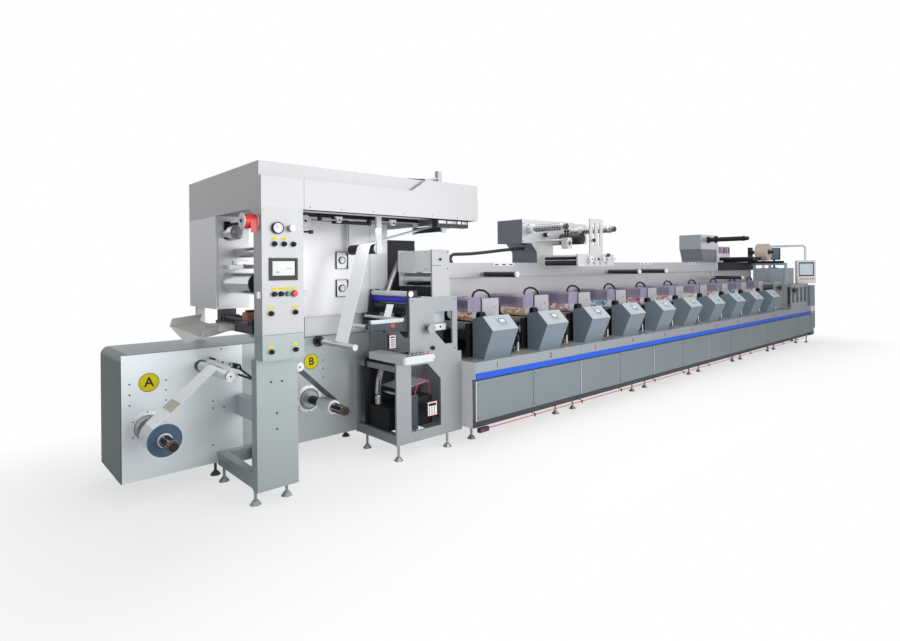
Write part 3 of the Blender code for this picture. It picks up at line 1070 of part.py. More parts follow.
def build_overheads(press):
    """Two rewind housings on the top rail, with their shafts and roller brackets."""
    base = RAIL_TOP + GAP
    rear = REWIND_Y + OVER_DEPTH
    plate = (REWIND_Y, REWIND_Y + PLATE)
    end_1 = OVER_1_X0 + OVER_1_LENGTH
    press.add("rewind_housing_1", "silver_paint", [
        outline(housing_outline(OVER_1_X0, OVER_1_LENGTH, OVER_TOP, base, NECK_1_START,
                                NECK_1_LEAN, NECK_1_END, NECK_1_LEAN), REWIND_Y, rear),
        supply_cable(base),
        rod((CABLE_X0, CABLE_Y, base), (CABLE_X0, CABLE_Y, base + 0.025), CABLE_R * 1.5, sides=12),
        box((end_1 - BITE, OVER_1_X0 + OVER_1_PLATE), plate, (OVER_BOTTOM + 0.010,
                                                              OVER_TOP - 0.010)),
        rod((OVER_1_X0 + 0.300, REWIND_Y + BITE, 1.965), (OVER_1_X0 + 0.300, -0.430, 1.965), 0.015,
            sides=10),
        box((OVER_1_X0 + 0.250, OVER_1_X0 + 0.350), (-0.500, -0.420), (1.860, 1.990)),
        rod((OVER_1_X0 + 0.790, REWIND_Y + BITE, 2.000), (OVER_1_X0 + 0.790, -0.340, 2.000), 0.072),
    ])
    press.add("rewind_housing_2", "silver_paint", [
        outline(housing_outline(OVER_2_X0, OVER_2_LENGTH, OVER_2_TOP, base, NECK_2_START,
                                NECK_2_LEAN, NECK_2_END, OVER_BOTTOM - base - 0.040),
                REWIND_Y, rear - 0.010),
    ])
    shaft = REWIND_Y - REWIND_TIP
    rewind_spindle(press, "rewind_spindle_1", "roller", OVER_1_X0 + SPINDLE_1_OFFSET, shaft - 0.060)
    rewind_spindle(press, "rewind_spindle_2", "roller", OVER_1_X0 + SPINDLE_2_OFFSET, shaft)
    rewind_spindle(press, "rewind_spindle_3", "black_metal", OVER_2_X0 + SPINDLE_3_OFFSET,
                   shaft + 0.050, 0.065)
    wall = REWIND_Y - GAP
    holes = [BRACKET_X0 + 0.220 + 0.130 * i for i in range(4)]
    press.add("roller_bracket_1", "silver_paint", [
        box((BRACKET_X0, BRACKET_X1), (BRACKET_FRONT, BRACKET_FRONT + PLATE),
            (BRACKET_Z0, BRACKET_Z1)),
        box((BRACKET_X0, BRACKET_X1), (wall - PLATE, wall), (BRACKET_Z0, BRACKET_Z1)),
        box((BRACKET_ARM_X0, BRACKET_ARM_X1), (BRACKET_FRONT + 0.003, BRACKET_FRONT + PLATE - 0.003),
            (BRACKET_Z1 - BITE, BRACKET_ARM_TOP)),
        box((BRACKET_ARM_X0 + 0.050, BRACKET_ARM_X1 - 0.050), (BRACKET_FRONT + 0.010, wall - BITE),
            (BRACKET_Z1 - 0.034, BRACKET_Z1 - 0.004)),
        *[rod((BRACKET_X0 + x, BRACKET_FRONT + 0.010, z), (BRACKET_X0 + x, wall - 0.010, z),
              BRACKET_R, sides=16)
          for x, z in ((0.050, BRACKET_Z0 + 0.040), (0.050, BRACKET_Z1 - 0.035),
                       (0.720, BRACKET_Z0 + 0.070))],
        *[rod((x, BRACKET_FRONT - 0.024, BRACKET_Z0 + 0.058), (x, BRACKET_FRONT + 0.008,
                                                               BRACKET_Z0 + 0.058), 0.034, sides=12)
          for x in holes],
        rod((BRACKET_ARM_X0 + 0.030, BRACKET_FRONT - 0.045, 1.965),
            (BRACKET_ARM_X0 + 0.030, BRACKET_FRONT + 0.012, 1.965), 0.022, sides=10),
        rod((BRACKET_X0 + 0.600, BRACKET_FRONT - 0.050, BRACKET_Z1 - 0.010),
            (BRACKET_X0 + 0.600, BRACKET_FRONT + 0.010, BRACKET_Z1 - 0.010), 0.022, sides=10),
    ], cuts=[
        *[box((BRACKET_ARM_X0 + x, BRACKET_ARM_X0 + x + 0.050),
              (BRACKET_FRONT - 0.020, BRACKET_FRONT + 0.050),
              (BRACKET_ARM_TOP - 0.330, BRACKET_ARM_TOP - 0.050)) for x in (0.060, 0.170)],
    ])
    plate_y = (wall - PLATE, wall)
    low = IDLER_Z - IDLER_R + 0.005
    rollers = [(WASTE_X0 + WASTE_STEP * i, 1.760 - 0.030 * (i % 2)) for i in range(3)]
    press.add("waste_rewind", "silver_paint", [
        box((WASTE_X0 - 0.100, MATRIX_X + 0.125), plate_y, (low, RAIL_TOP)),
        box((WASTE_X0 - 0.120, WASTE_X0 + 0.460), (plate_y[0] + 0.003, plate_y[1] - 0.003),
            (1.690, 2.000)),
        box((MATRIX_X - 0.120, MATRIX_X + 0.120), (plate_y[0] + 0.003, plate_y[1] - 0.003),
            (MATRIX_ROLLER_Z - 0.040, MATRIX_Z + 0.100)),
        *[rod((x, plate_y[0] + 0.008, z), (x, -0.640, z), WASTE_R, sides=16) for x, z in rollers],
        rod((MATRIX_X, plate_y[0] + 0.008, MATRIX_Z), (MATRIX_X, MATRIX_FRONT - 0.090, MATRIX_Z),
            0.035),
        rod((MATRIX_X, MATRIX_FRONT, MATRIX_Z), (MATRIX_X, MATRIX_FRONT + MATRIX_WIDTH, MATRIX_Z),
            MATRIX_R, sides=32),
        rod((MATRIX_X, plate_y[0] + 0.008, MATRIX_ROLLER_Z), (MATRIX_X, -0.660, MATRIX_ROLLER_Z),
            0.022, sides=14),
    ])


def turned_at(place):
    """A hand wheel whose hub stands on a side plate at a place."""
    wheel = turned([(0.020, -BITE), (0.020, 0.034), (WHEEL_R, 0.042), (WHEEL_R, 0.058),
                    (0.020, 0.064), (0.016, 0.080)], sides=12)
    wheel.transform(Matrix.Translation(place))
    return wheel


def build_finishing(press):
    """The die-cutting section, the waste reel and the swinging operator screen."""
    bed = BED_Z + GAP
    slot_step = (DIE_X1 - DIE_X0 - 0.060) / DIE_SLOTS
    slots = [box((DIE_X0 + 0.060 + slot_step * i, DIE_X0 + 0.060 + slot_step * i + DIE_SLOT),
                 (DIE_FRONT - 0.02, DIE_FRONT + PLATE + 0.02), (bed + 0.110, DIE_TOP - 0.070))
             for i in range(DIE_SLOTS)]
    inner = DIE_FRONT + PLATE - BITE
    rear = SIDE_REAR - PLATE
    scene = bpy.context.scene.collection
    front_plate = combine(box((DIE_X0, DIE_X1), (DIE_FRONT, DIE_FRONT + PLATE), (bed, DIE_TOP)),
                          slots, "DIFFERENCE", scene)
    gate_x = (DIE_X0 + 0.006, DIE_X0 + 0.036)
    gate = combine(box(gate_x, (GATE_FRONT, rear + BITE), (bed + 0.004, GATE_TOP)),
                   [box((DIE_X0 - 0.1, DIE_X0 + 0.1),
                        (GATE_FRONT + GATE_BAR, (GATE_FRONT + rear) / 2 - GATE_BAR / 2),
                        (DIE_TOP + GATE_BAR, GATE_TOP - GATE_BAR)),
                    box((DIE_X0 - 0.1, DIE_X0 + 0.1),
                        ((GATE_FRONT + rear) / 2 + GATE_BAR / 2, rear - GATE_BAR),
                        (DIE_TOP + GATE_BAR, GATE_TOP - GATE_BAR))], "DIFFERENCE", scene)
    pairs = [(DIE_X0 + 0.560, DIE_TOP - 0.210 + 0.110 * k) for k in range(2)]
    slitter = (SLITTER_X0, DIE_X0 + BITE)
    slitter_in = SLITTER_FRONT + PLATE - BITE
    wheels = [(SLITTER_X0 + 0.180, SLITTER_FRONT, SLITTER_TOP - 0.120),
              (DIE_X0 + 0.030, DIE_FRONT, DIE_TOP - 0.110)]
    press.add("die_section", "brushed_steel", [
        front_plate,
        gate,
        box((DIE_X0, DIE_X1), (rear, SIDE_REAR), (bed, DIE_TOP)),
        box((DIE_X0 + 0.008, DIE_X1 - 0.006), (inner, rear + BITE), (bed + 0.006, bed + 0.030)),
        *[box((x, x + 0.060), (inner, rear + BITE), (DIE_TOP - 0.045, DIE_TOP - 0.005))
          for x in (DIE_X0 + 0.010, (DIE_X0 + DIE_X1) / 2, DIE_X1 - 0.070)],
        box((gate_x[1] - BITE, STAND_X1), (GATE_FRONT + 0.010, rear - 0.010),
            (DIE_TOP - 0.060, STAND_TOP)),
        *[rod((x, inner, z), (x, rear + BITE, z), 0.050, sides=14) for x, z in pairs],
        box(slitter, (SLITTER_FRONT, SLITTER_FRONT + PLATE), (bed + 0.008, SLITTER_TOP)),
        box(slitter, (rear + 0.003, SIDE_REAR - 0.003), (bed + 0.008, SLITTER_TOP)),
        *[rod((SLITTER_X0 + x, slitter_in, SLITTER_TOP - z), (SLITTER_X0 + x, rear + BITE + 0.003,
                                                              SLITTER_TOP - z), r, sides=16)
          for x, z, r in ((0.120, 0.060, 0.040), (0.350, 0.110, 0.060), (0.350, 0.260, 0.070))],
        *[turned_at(place) for place in wheels],
    ])
    foot_z = BACK_LOW_TOP + GAP
    press.add("screen_post", "white_paint", [
        rod((POST_X, POST_Y, foot_z), (POST_X, POST_Y, foot_z + 0.02), POST_R * 1.9),
        rod((POST_X, POST_Y, foot_z + 0.01), (POST_X, POST_Y, POST_TOP - 0.05), POST_R),
    ])
    hinge_z = POST_TOP - 0.05 + GAP
    arm_z = hinge_z + 0.060
    turn = Matrix.Rotation(SCREEN_TURN, 4, "Z")
    half = SCREEN_WIDTH / 2
    housing = outline(rounded((-half, SCREEN_TOP - SCREEN_HEIGHT), (half, SCREEN_TOP), SCREEN_CORNER),
                      -SCREEN_DEPTH / 2, SCREEN_DEPTH / 2)
    housing = combine(housing, [box((-half + 0.035, half - 0.035),
                                    (-SCREEN_DEPTH / 2 - 0.02, -SCREEN_DEPTH / 2 + 0.008),
                                    (SCREEN_TOP - 0.330, SCREEN_TOP - 0.040))],
                      "DIFFERENCE", scene)
    housing.transform(Matrix.Translation((0, -ARM_REACH, 0)) @ turn)
    press.add("operator_screen", "white_paint", [
        rod((0, 0, hinge_z), (0, 0, hinge_z + 0.090), POST_R * 1.25),
        hose([(0, 0, arm_z), (0, -ARM_REACH + 0.060, arm_z), (0, -ARM_REACH + 0.020, arm_z - 0.012),
              (0, -ARM_REACH, arm_z - 0.050), (0, -ARM_REACH, SCREEN_TOP - 0.012)], ARM_R),
        housing,
    ], at=(POST_X, POST_Y, 0))


def main():
    """Build the whole press."""
    clear_scene()
    press = Press()
    build_unwinder(press)
    build_tower(press)
    build_web(press)
    build_infeed(press)
    build_base(press)
    build_print_line(press)
    build_overheads(press)
    build_finishing(press)
    press.centre_on_floor()


main()
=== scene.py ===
"""Looks of the flexographic printing press: finishes, fittings, marks, studio and camera.

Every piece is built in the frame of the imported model, in metres: +X runs along the press to
the delivery end, -Y is the operator side and +Z is up. Places on the press are measured from
the left face of the tower and the front of the machine wall.
"""

from __future__ import annotations

import logging
import math
from dataclasses import dataclass
from enum import Enum
from typing import Callable, Iterable, Sequence

import bmesh
import bpy
from mathutils import Matrix, Vector

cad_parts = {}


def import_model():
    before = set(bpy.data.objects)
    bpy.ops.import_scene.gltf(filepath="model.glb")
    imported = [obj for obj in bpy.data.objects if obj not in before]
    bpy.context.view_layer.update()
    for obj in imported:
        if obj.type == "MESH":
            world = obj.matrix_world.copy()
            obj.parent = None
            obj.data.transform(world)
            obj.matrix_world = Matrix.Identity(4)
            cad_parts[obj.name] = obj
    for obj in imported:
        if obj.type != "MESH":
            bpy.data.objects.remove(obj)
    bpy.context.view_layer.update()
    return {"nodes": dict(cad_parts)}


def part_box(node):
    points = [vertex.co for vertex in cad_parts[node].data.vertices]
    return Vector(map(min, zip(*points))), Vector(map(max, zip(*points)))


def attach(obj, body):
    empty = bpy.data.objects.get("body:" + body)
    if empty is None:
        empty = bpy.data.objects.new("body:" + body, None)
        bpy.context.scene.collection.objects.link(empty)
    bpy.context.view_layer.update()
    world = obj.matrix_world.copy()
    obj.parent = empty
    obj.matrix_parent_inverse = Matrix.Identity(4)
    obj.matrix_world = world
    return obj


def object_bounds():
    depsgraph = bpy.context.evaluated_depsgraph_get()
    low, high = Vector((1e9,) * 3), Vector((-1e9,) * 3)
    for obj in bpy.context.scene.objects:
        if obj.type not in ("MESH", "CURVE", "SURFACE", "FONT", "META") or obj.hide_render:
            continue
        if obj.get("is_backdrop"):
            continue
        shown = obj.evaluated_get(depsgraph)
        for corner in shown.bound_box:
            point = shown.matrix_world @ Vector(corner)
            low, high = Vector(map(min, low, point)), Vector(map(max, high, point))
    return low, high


LOG = logging.getLogger("press")
UPRIGHT = Matrix.Rotation(math.pi / 2, 4, "X")
FORWARD = Vector((0.0, -1.0, 0.0))
BACK = Vector((0.0, 1.0, 0.0))
WHITE_LIGHT = (1.0, 1.0, 1.0)
Colour = tuple[float, float, float]
Place = tuple[float, float, float]
Span = tuple[float, float]
PROUD = 0.0002
SEAM_GAP = 0.0001
# Scale of the broad clouds of tone, which are partly random tone and partly painted reflection
# bands.
SHEEN_CLOUDS = (0.9, 1.3, 1.7)
BUMP_DEPTH = 0.0006
SHARP_ANGLE = math.radians(35.0)


class Grain(Enum):
    """How a surface was worked, as the scale of its pattern along x, y and z."""

    SMOOTH = (24.0, 24.0, 24.0)
    BRUSHED_X = (1.5, 120.0, 420.0)
    BRUSHED_Z = (260.0, 260.0, 1.2)
    PAINT = (420.0, 420.0, 420.0)
    TURNED = (14.0, 600.0, 14.0)
    CAST = (160.0, 160.0, 160.0)


class Sock:
    """A shader value that takes arithmetic, so that shader maths reads as maths."""

    def __init__(self, nodes: "Nodes", socket: bpy.types.NodeSocket) -> None:
        """Wrap one output socket of a tree."""
        self.nodes = nodes
        self.socket = socket

    def __add__(self, other: "Sock | float") -> "Sock":
        """Sum."""
        return self.nodes.maths("ADD", self, other)

    __radd__ = __add__

    def __sub__(self, other: "Sock | float") -> "Sock":
        """Difference."""
        return self.nodes.maths("SUBTRACT", self, other)

    def __rsub__(self, other: "Sock | float") -> "Sock":
        """Difference with a number on the left."""
        return self.nodes.maths("SUBTRACT", other, self)

    def __mul__(self, other: "Sock | float") -> "Sock":
        """Product."""
        return self.nodes.maths("MULTIPLY", self, other)

    __rmul__ = __mul__

    def __gt__(self, other: "Sock | float") -> "Sock":
        """One where this value is larger, and zero elsewhere."""
        return self.nodes.maths("GREATER_THAN", self, other)

    def __lt__(self, other: "Sock | float") -> "Sock":
        """One where this value is smaller, and zero elsewhere."""
        return self.nodes.maths("LESS_THAN", self, other)


class Nodes:
    """A node tree whose nodes and links all come from the same few methods."""

    def __init__(self, tree: bpy.types.NodeTree) -> None:
        """Take over a tree and empty it."""
        self.tree = tree
        self.tree.nodes.clear()

    def put(self, target: bpy.types.NodeSocket, value: Sock | Colour | float) -> None:
        """Link a value to a socket, or set it there.

        Args:
            target: The input socket.
            value: A shader value, a colour, a vector or a number.
        """
        if isinstance(value, Sock):
            self.tree.links.new(value.socket, target)
        elif isinstance(value, tuple) and len(value) < len(target.default_value):
            target.default_value = (*value, 1.0)
        else:
            target.default_value = value

    def node(self, kind: str, settings: dict | None = None,
             sockets: dict | None = None) -> bpy.types.Node:
        """Add any node.

        Args:
            kind: The node type.
            settings: Properties that are set first.
            sockets: Values or links by socket name or number.

        Returns:
            The new node.
        """
        made = self.tree.nodes.new(kind)
        for key, value in (settings or {}).items():
            setattr(made, key, value)
        for key, value in (sockets or {}).items():
            self.put(made.inputs[key], value)
        return made

    def maths(self, operation: str, first: Sock | float, second: Sock | float) -> Sock:
        """Add a Math node and return its value."""
        made = self.node("ShaderNodeMath", {"operation": operation}, {0: first, 1: second})
        return Sock(self, made.outputs[0])


class Shade(Nodes):
    """The node tree of one material, with a Principled shader."""

    def __init__(self, name: str) -> None:
        """Start an empty material.

        Args:
            name: The name of the material.
        """
        self.material = bpy.data.materials.new(name)
        self.material.use_nodes = True
        super().__init__(self.material.node_tree)
        self.surface = self.node("ShaderNodeBsdfPrincipled")
        self.output = self.node("ShaderNodeOutputMaterial", None,
                                {"Surface": Sock(self, self.surface.outputs[0])})
        self._axes: tuple[Sock, Sock, Sock] | None = None

    def axes(self) -> tuple[Sock, Sock, Sock]:
        """The x, y and z of the surface in the frame of the press.

        Returns:
            The three values.
        """
        if self._axes is None:
            where = self.node("ShaderNodeTexCoord")
            split = self.node("ShaderNodeSeparateXYZ", None,
                              {0: Sock(self, where.outputs["Object"])})
            self._axes = tuple(Sock(self, split.outputs[i]) for i in range(3))
        return self._axes

    def stretched(self, scale: Place) -> Sock:
        """The place on the surface, scaled along each axis.

        Args:
            scale: The scale along x, y and z.

        Returns:
            The scaled place.
        """
        where = Sock(self, self.node("ShaderNodeTexCoord").outputs["Object"])
        return Sock(self, self.node("ShaderNodeMapping", None,
                                    {"Vector": where, "Scale": scale}).outputs[0])

    def noise(self, scale: Place, detail: float) -> Sock:
        """Noise between 0 and 1 with its own scale along each axis.

        Args:
            scale: The scale along x, y and z.
            detail: How fine it goes.

        Returns:
            The noise.
        """
        made = self.node("ShaderNodeTexNoise", None, {
            "Vector": self.stretched(scale), "Scale": 1.0, "Detail": detail})
        return Sock(self, made.outputs["Fac"])

    def mix(self, mask: Sock | float, low: Sock | Colour, high: Sock | Colour) -> Sock:
        """Colour that goes from low to high with the mask.

        Args:
            mask: How far it goes, from 0 to 1.
            low: The colour at 0.
            high: The colour at 1.

        Returns:
            The colour.
        """
        made = self.node("ShaderNodeMix", {"data_type": "RGBA"}, {0: mask, 6: low, 7: high})
        return Sock(self, made.outputs[2])

    def blend(self, mask: Sock, low: Sock | float, high: Sock | float) -> Sock:
        """Number that goes from low to high with the mask."""
        return (1.0 - mask) * low + mask * high

    def inside(self, x: Span | None = None, y: Span | None = None,
               z: Span | None = None) -> Sock:
        """Mask of the points within spans of x, y and z.

        Args:
            x: The span along the press.
            y: The span across it.
            z: The span of heights.

        Returns:
            The mask, one inside and zero outside.
        """
        mask: Sock | None = None
        for value, span in zip(self.axes(), (x, y, z)):
            if span is not None:
                part = (value > span[0]) * (value < span[1])
                mask = part if mask is None else mask * part
        return mask

    def barrel(self, centre: Span, radius: float) -> Sock:
        """Mask of the points within a radius of a line along y.

        Args:
            centre: The x and z of the line.
            radius: The radius.

        Returns:
            The mask, one inside and zero outside.
        """
        x, _, z = self.axes()
        gap_x = x - centre[0]
        gap_z = z - centre[1]
        return (gap_x * gap_x + gap_z * gap_z) < radius * radius

    def feed(self, name: str, value: Sock | Colour | float) -> None:
        """Give one socket of the Principled shader a link or a value."""
        self.put(self.surface.inputs[name], value)


@dataclass(frozen=True)
class Finish:
    """One finish: its colour, gloss and the way its surface was worked."""

    colour: Colour
    roughness: float = 0.4
    metallic: float = 0.0
    grain: Grain = Grain.SMOOTH
    tone: float = 0.05
    relief: float = 0.15
    coat: float = 0.0
    shine: float = 0.5
    # Painted light: emission that brightens a surface beyond what its lamps give it.
    glow: float = 0.0

    def channels(self, shade: Shade) -> tuple[Sock, Sock, Sock]:
        """Colour, roughness and height of this finish over the surface, with broad painted
        reflection bands in the colour.

        Args:
            shade: The material that gets it.

        Returns:
            The three channels as shader values.
        """
        fine = shade.noise(self.grain.value, detail=3.0)
        # Broad clouds: partly random tone, partly painted reflection that stands in for the soft
        # light and dark bands of studio reflections.
        tone_and_sheen = shade.noise(SHEEN_CLOUDS, detail=1.5)
        shift = (fine - 0.5) * self.tone + (tone_and_sheen - 0.5) * (self.tone * 2.4)
        dark = tuple(c * (1.0 - self.tone * 2.0) for c in self.colour)
        light = tuple(min(1.0, c * (1.0 + self.tone * 2.0)) for c in self.colour)
        colour = shade.mix(shift * 2.0 + 0.5, dark, light)
        rough = (fine - 0.5) * 0.12 + (tone_and_sheen - 0.5) * 0.10 + self.roughness
        return colour, rough, fine


@dataclass(frozen=True)
class Zone:
    """A stretch of one CAD solid that has a finish of its own."""

    mask: Callable[[Shade], Sock]
    finish: Finish
    alpha: float = 1.0


class Palette:
    """The finishes of the press."""

    BRUSHED = Finish((0.62, 0.62, 0.63), 0.36, 0.60, Grain.BRUSHED_X, 0.06, 0.10)
    CANOPY = Finish((0.42, 0.42, 0.43), 0.42, 0.40, Grain.BRUSHED_X, 0.05, 0.08)
    PANEL = Finish((0.42, 0.425, 0.435), 0.44, 0.35, Grain.BRUSHED_Z, 0.04, 0.08)
    COLUMN = Finish((0.33, 0.375, 0.375), 0.42, 0.35, Grain.PAINT, 0.06, 0.06)
    BASE = Finish((0.205, 0.242, 0.256), 0.34, 0.45, Grain.PAINT, 0.07, 0.05)
    BAND = Finish((0.30, 0.325, 0.345), 0.38, 0.40, Grain.BRUSHED_X, 0.06, 0.05)
    BED = Finish((0.52, 0.53, 0.54), 0.32, 0.60, Grain.BRUSHED_X, 0.06, 0.08)
    CASING = Finish((0.130, 0.160, 0.160), 0.42, 0.20, Grain.PAINT, 0.05, 0.06)
    WALL = Finish((0.52, 0.51, 0.535), 0.36, 0.45, Grain.BRUSHED_X, 0.09, 0.10)
    FACE = Finish((0.76, 0.805, 0.83), 0.34, 0.30, Grain.BRUSHED_X, 0.10, 0.10)
    CONSOLE = Finish((0.175, 0.222, 0.262), 0.40, 0.15, Grain.PAINT, 0.05, 0.06)
    PALE = Finish((0.74, 0.745, 0.76), 0.40, 0.20, Grain.BRUSHED_Z, 0.05, 0.08)
    SIDE_SHEET = Finish((0.30, 0.325, 0.36), 0.44, 0.30, Grain.BRUSHED_Z, 0.05, 0.06)
    FRAME = Finish((0.315, 0.332, 0.345), 0.42, 0.40, Grain.BRUSHED_X, 0.05, 0.08)
    HOUSING = Finish((0.17, 0.19, 0.225), 0.44, 0.10, Grain.PAINT, 0.05, 0.06)
    GREY_PLATE = Finish((0.43, 0.415, 0.44), 0.45, 0.30, Grain.PAINT, 0.05, 0.05)
    BLUE = Finish((0.010, 0.085, 0.56), 0.45, 0.0, Grain.PAINT, 0.04, 0.03, 0.0, 0.3)
    BLACK = Finish((0.012, 0.012, 0.014), 0.50, 0.0, Grain.CAST, 0.10, 0.15, 0.0, 0.25)
    DARK = Finish((0.032, 0.036, 0.042), 0.50, 0.0, Grain.CAST, 0.12, 0.12, 0.0, 0.3)
    RUBBER = Finish((0.010, 0.010, 0.011), 0.48, 0.0, Grain.TURNED, 0.10, 0.10, 0.0, 0.35)
    CHROME = Finish((0.62, 0.635, 0.65), 0.18, 1.0, Grain.TURNED, 0.05, 0.04)
    STEEL = Finish((0.36, 0.37, 0.38), 0.32, 0.70, Grain.TURNED, 0.07, 0.06)
    REEL = Finish((0.060, 0.105, 0.165), 0.40, 0.25, Grain.CAST, 0.10, 0.05)
    PAPER = Finish((0.86, 0.865, 0.87), 0.50, 0.0, Grain.CAST, 0.02, 0.02)
    # The film glows a little: painted light.
    FILM = Finish((0.82, 0.84, 0.86), 0.34, 0.05, Grain.SMOOTH, 0.04, 0.02, 0.0, 0.5, 0.22)
    # A darker copy of the film: painted shade on the underside of a web.
    FILM_PAINTED_SHADE = Finish((0.150, 0.175, 0.185), 0.34, 0.30, Grain.SMOOTH, 0.06, 0.02)
    VIOLET = Finish((0.34, 0.30, 0.43), 0.18, 0.0, Grain.SMOOTH, 0.16, 0.02, 0.5)
    PANE = Finish((0.36, 0.41, 0.46), 0.14, 0.0, Grain.SMOOTH, 0.06, 0.01, 0.4)
    COPPER = Finish((0.26, 0.17, 0.12), 0.34, 0.60, Grain.TURNED, 0.08, 0.05)
    MATRIX = Finish((0.62, 0.50, 0.43), 0.50, 0.05, Grain.TURNED, 0.06, 0.06)
    WARM = Finish((0.66, 0.65, 0.62), 0.38, 0.40, Grain.BRUSHED_X, 0.06, 0.06)
    HOOD = Finish((0.80, 0.81, 0.81), 0.32, 0.30, Grain.BRUSHED_X, 0.06, 0.08)
    WHITE = Finish((0.74, 0.745, 0.75), 0.40, 0.0, Grain.PAINT, 0.02, 0.03)
    YELLOW = Finish((0.80, 0.68, 0.005), 0.55, 0.0, Grain.SMOOTH, 0.03, 0.02, 0.0, 0.2)
    RED = Finish((0.66, 0.025, 0.018), 0.34, 0.0, Grain.SMOOTH, 0.04, 0.02, 0.2)
    BRICK = Finish((0.36, 0.13, 0.085), 0.50, 0.0, Grain.CAST, 0.12, 0.05)
    GREEN = Finish((0.01, 0.22, 0.11), 0.34, 0.0, Grain.SMOOTH, 0.04, 0.02, 0.2)
    ROYAL = Finish((0.035, 0.045, 0.60), 0.38, 0.0, Grain.TURNED, 0.05, 0.03)
    SKY = Finish((0.10, 0.20, 0.55), 0.45, 0.0, Grain.SMOOTH, 0.04, 0.02)
    NAVY = Finish((0.030, 0.036, 0.052), 0.42, 0.10, Grain.CAST, 0.10, 0.08)
    PICTURE = Finish((0.16, 0.24, 0.30), 0.25, 0.0, Grain.SMOOTH, 0.25, 0.01)
    # A lighter copy of the casing paint: painted light on the top face.
    CASING_LIT_TOP = Finish((0.26, 0.29, 0.30), 0.40, 0.25, Grain.PAINT, 0.05, 0.06)
    CONSOLE_FACE = Finish((0.42, 0.46, 0.50), 0.38, 0.20, Grain.PAINT, 0.05, 0.05)
    BRACKET = Finish((0.56, 0.55, 0.535), 0.42, 0.30, Grain.PAINT, 0.05, 0.05)
    SLATE = Finish((0.50, 0.555, 0.585), 0.42, 0.20, Grain.PAINT, 0.06, 0.05)
    PLATE_GREY = Finish((0.38, 0.41, 0.45), 0.40, 0.0, Grain.SMOOTH, 0.03, 0.01)
    GREEN_SOFT = Finish((0.20, 0.48, 0.28), 0.40, 0.0, Grain.SMOOTH, 0.03, 0.01)
    # A darker copy of the wall face steel: painted shade.
    FACE_PAINTED_SHADE = Finish((0.41, 0.445, 0.445), 0.34, 0.35, Grain.BRUSHED_X, 0.10, 0.10)
    DISPLAY = Finish((0.62, 0.74, 0.80), 0.22, 0.0, Grain.SMOOTH, 0.06, 0.01, 0.3)
    # The paper web glows: painted light.
    WEB = Finish((0.88, 0.89, 0.90), 0.40, 0.0, Grain.SMOOTH, 0.03, 0.02, 0.0, 0.5, 0.36)
    # Painted shade on the underside of the web under the canopy.
    WEB_PAINTED_SHADE = Finish((0.36, 0.41, 0.46), 0.30, 0.25, Grain.SMOOTH, 0.04, 0.02)
    NUMBER = Finish((0.34, 0.010, 0.010), 0.50, 0.0, Grain.PAINT, 0.03, 0.02, 0.0, 0.3)
    BRASS = Finish((0.46, 0.33, 0.12), 0.34, 0.70, Grain.TURNED, 0.06, 0.05)
    # The sleeves glow, ink and all: painted light in the shade of the guards.
    SLEEVE = Finish((0.84, 0.84, 0.83), 0.45, 0.0, Grain.CAST, 0.03, 0.02, 0.0, 0.5, 0.20)
    # The desk glows a little: painted light.
    DESK = Finish((0.60, 0.63, 0.645), 0.36, 0.10, Grain.PAINT, 0.03, 0.05, 0.0, 0.5, 0.06)
    TAN = Finish((0.50, 0.48, 0.40), 0.55, 0.0, Grain.CAST, 0.05, 0.02)


class Trim(Enum):
    """The finish of a small fitting, and the slot of the record that it stands for."""

    BLACK = (Palette.BLACK, "black_metal")
    DARK = (Palette.DARK, "black_metal")
    NAVY = (Palette.NAVY, "black_metal")
    RUBBER = (Palette.RUBBER, "black_metal")
    SLATE = (Palette.SLATE, "silver_paint")
    DISPLAY = (Palette.DISPLAY, "white_paint")
    BRASS = (Palette.BRASS, "brushed_steel")
    FACIA = (Palette.CONSOLE_FACE, "silver_paint")
    WEB = (Palette.WEB, "web")
    STEEL = (Palette.STEEL, "brushed_steel")
    CHROME = (Palette.CHROME, "roller")
    PALE = (Palette.PALE, "pale_paint")
    FACE = (Palette.FACE, "brushed_steel")
    PLATE = (Palette.GREY_PLATE, "silver_paint")
    WHITE = (Palette.WHITE, "white_paint")
    YELLOW = (Palette.YELLOW, "blue_stripe")
    RED = (Palette.RED, "blue_stripe")
    BRICK = (Palette.BRICK, "blue_stripe")
    GREEN = (Palette.GREEN, "blue_stripe")
    SKY = (Palette.SKY, "blue_stripe")


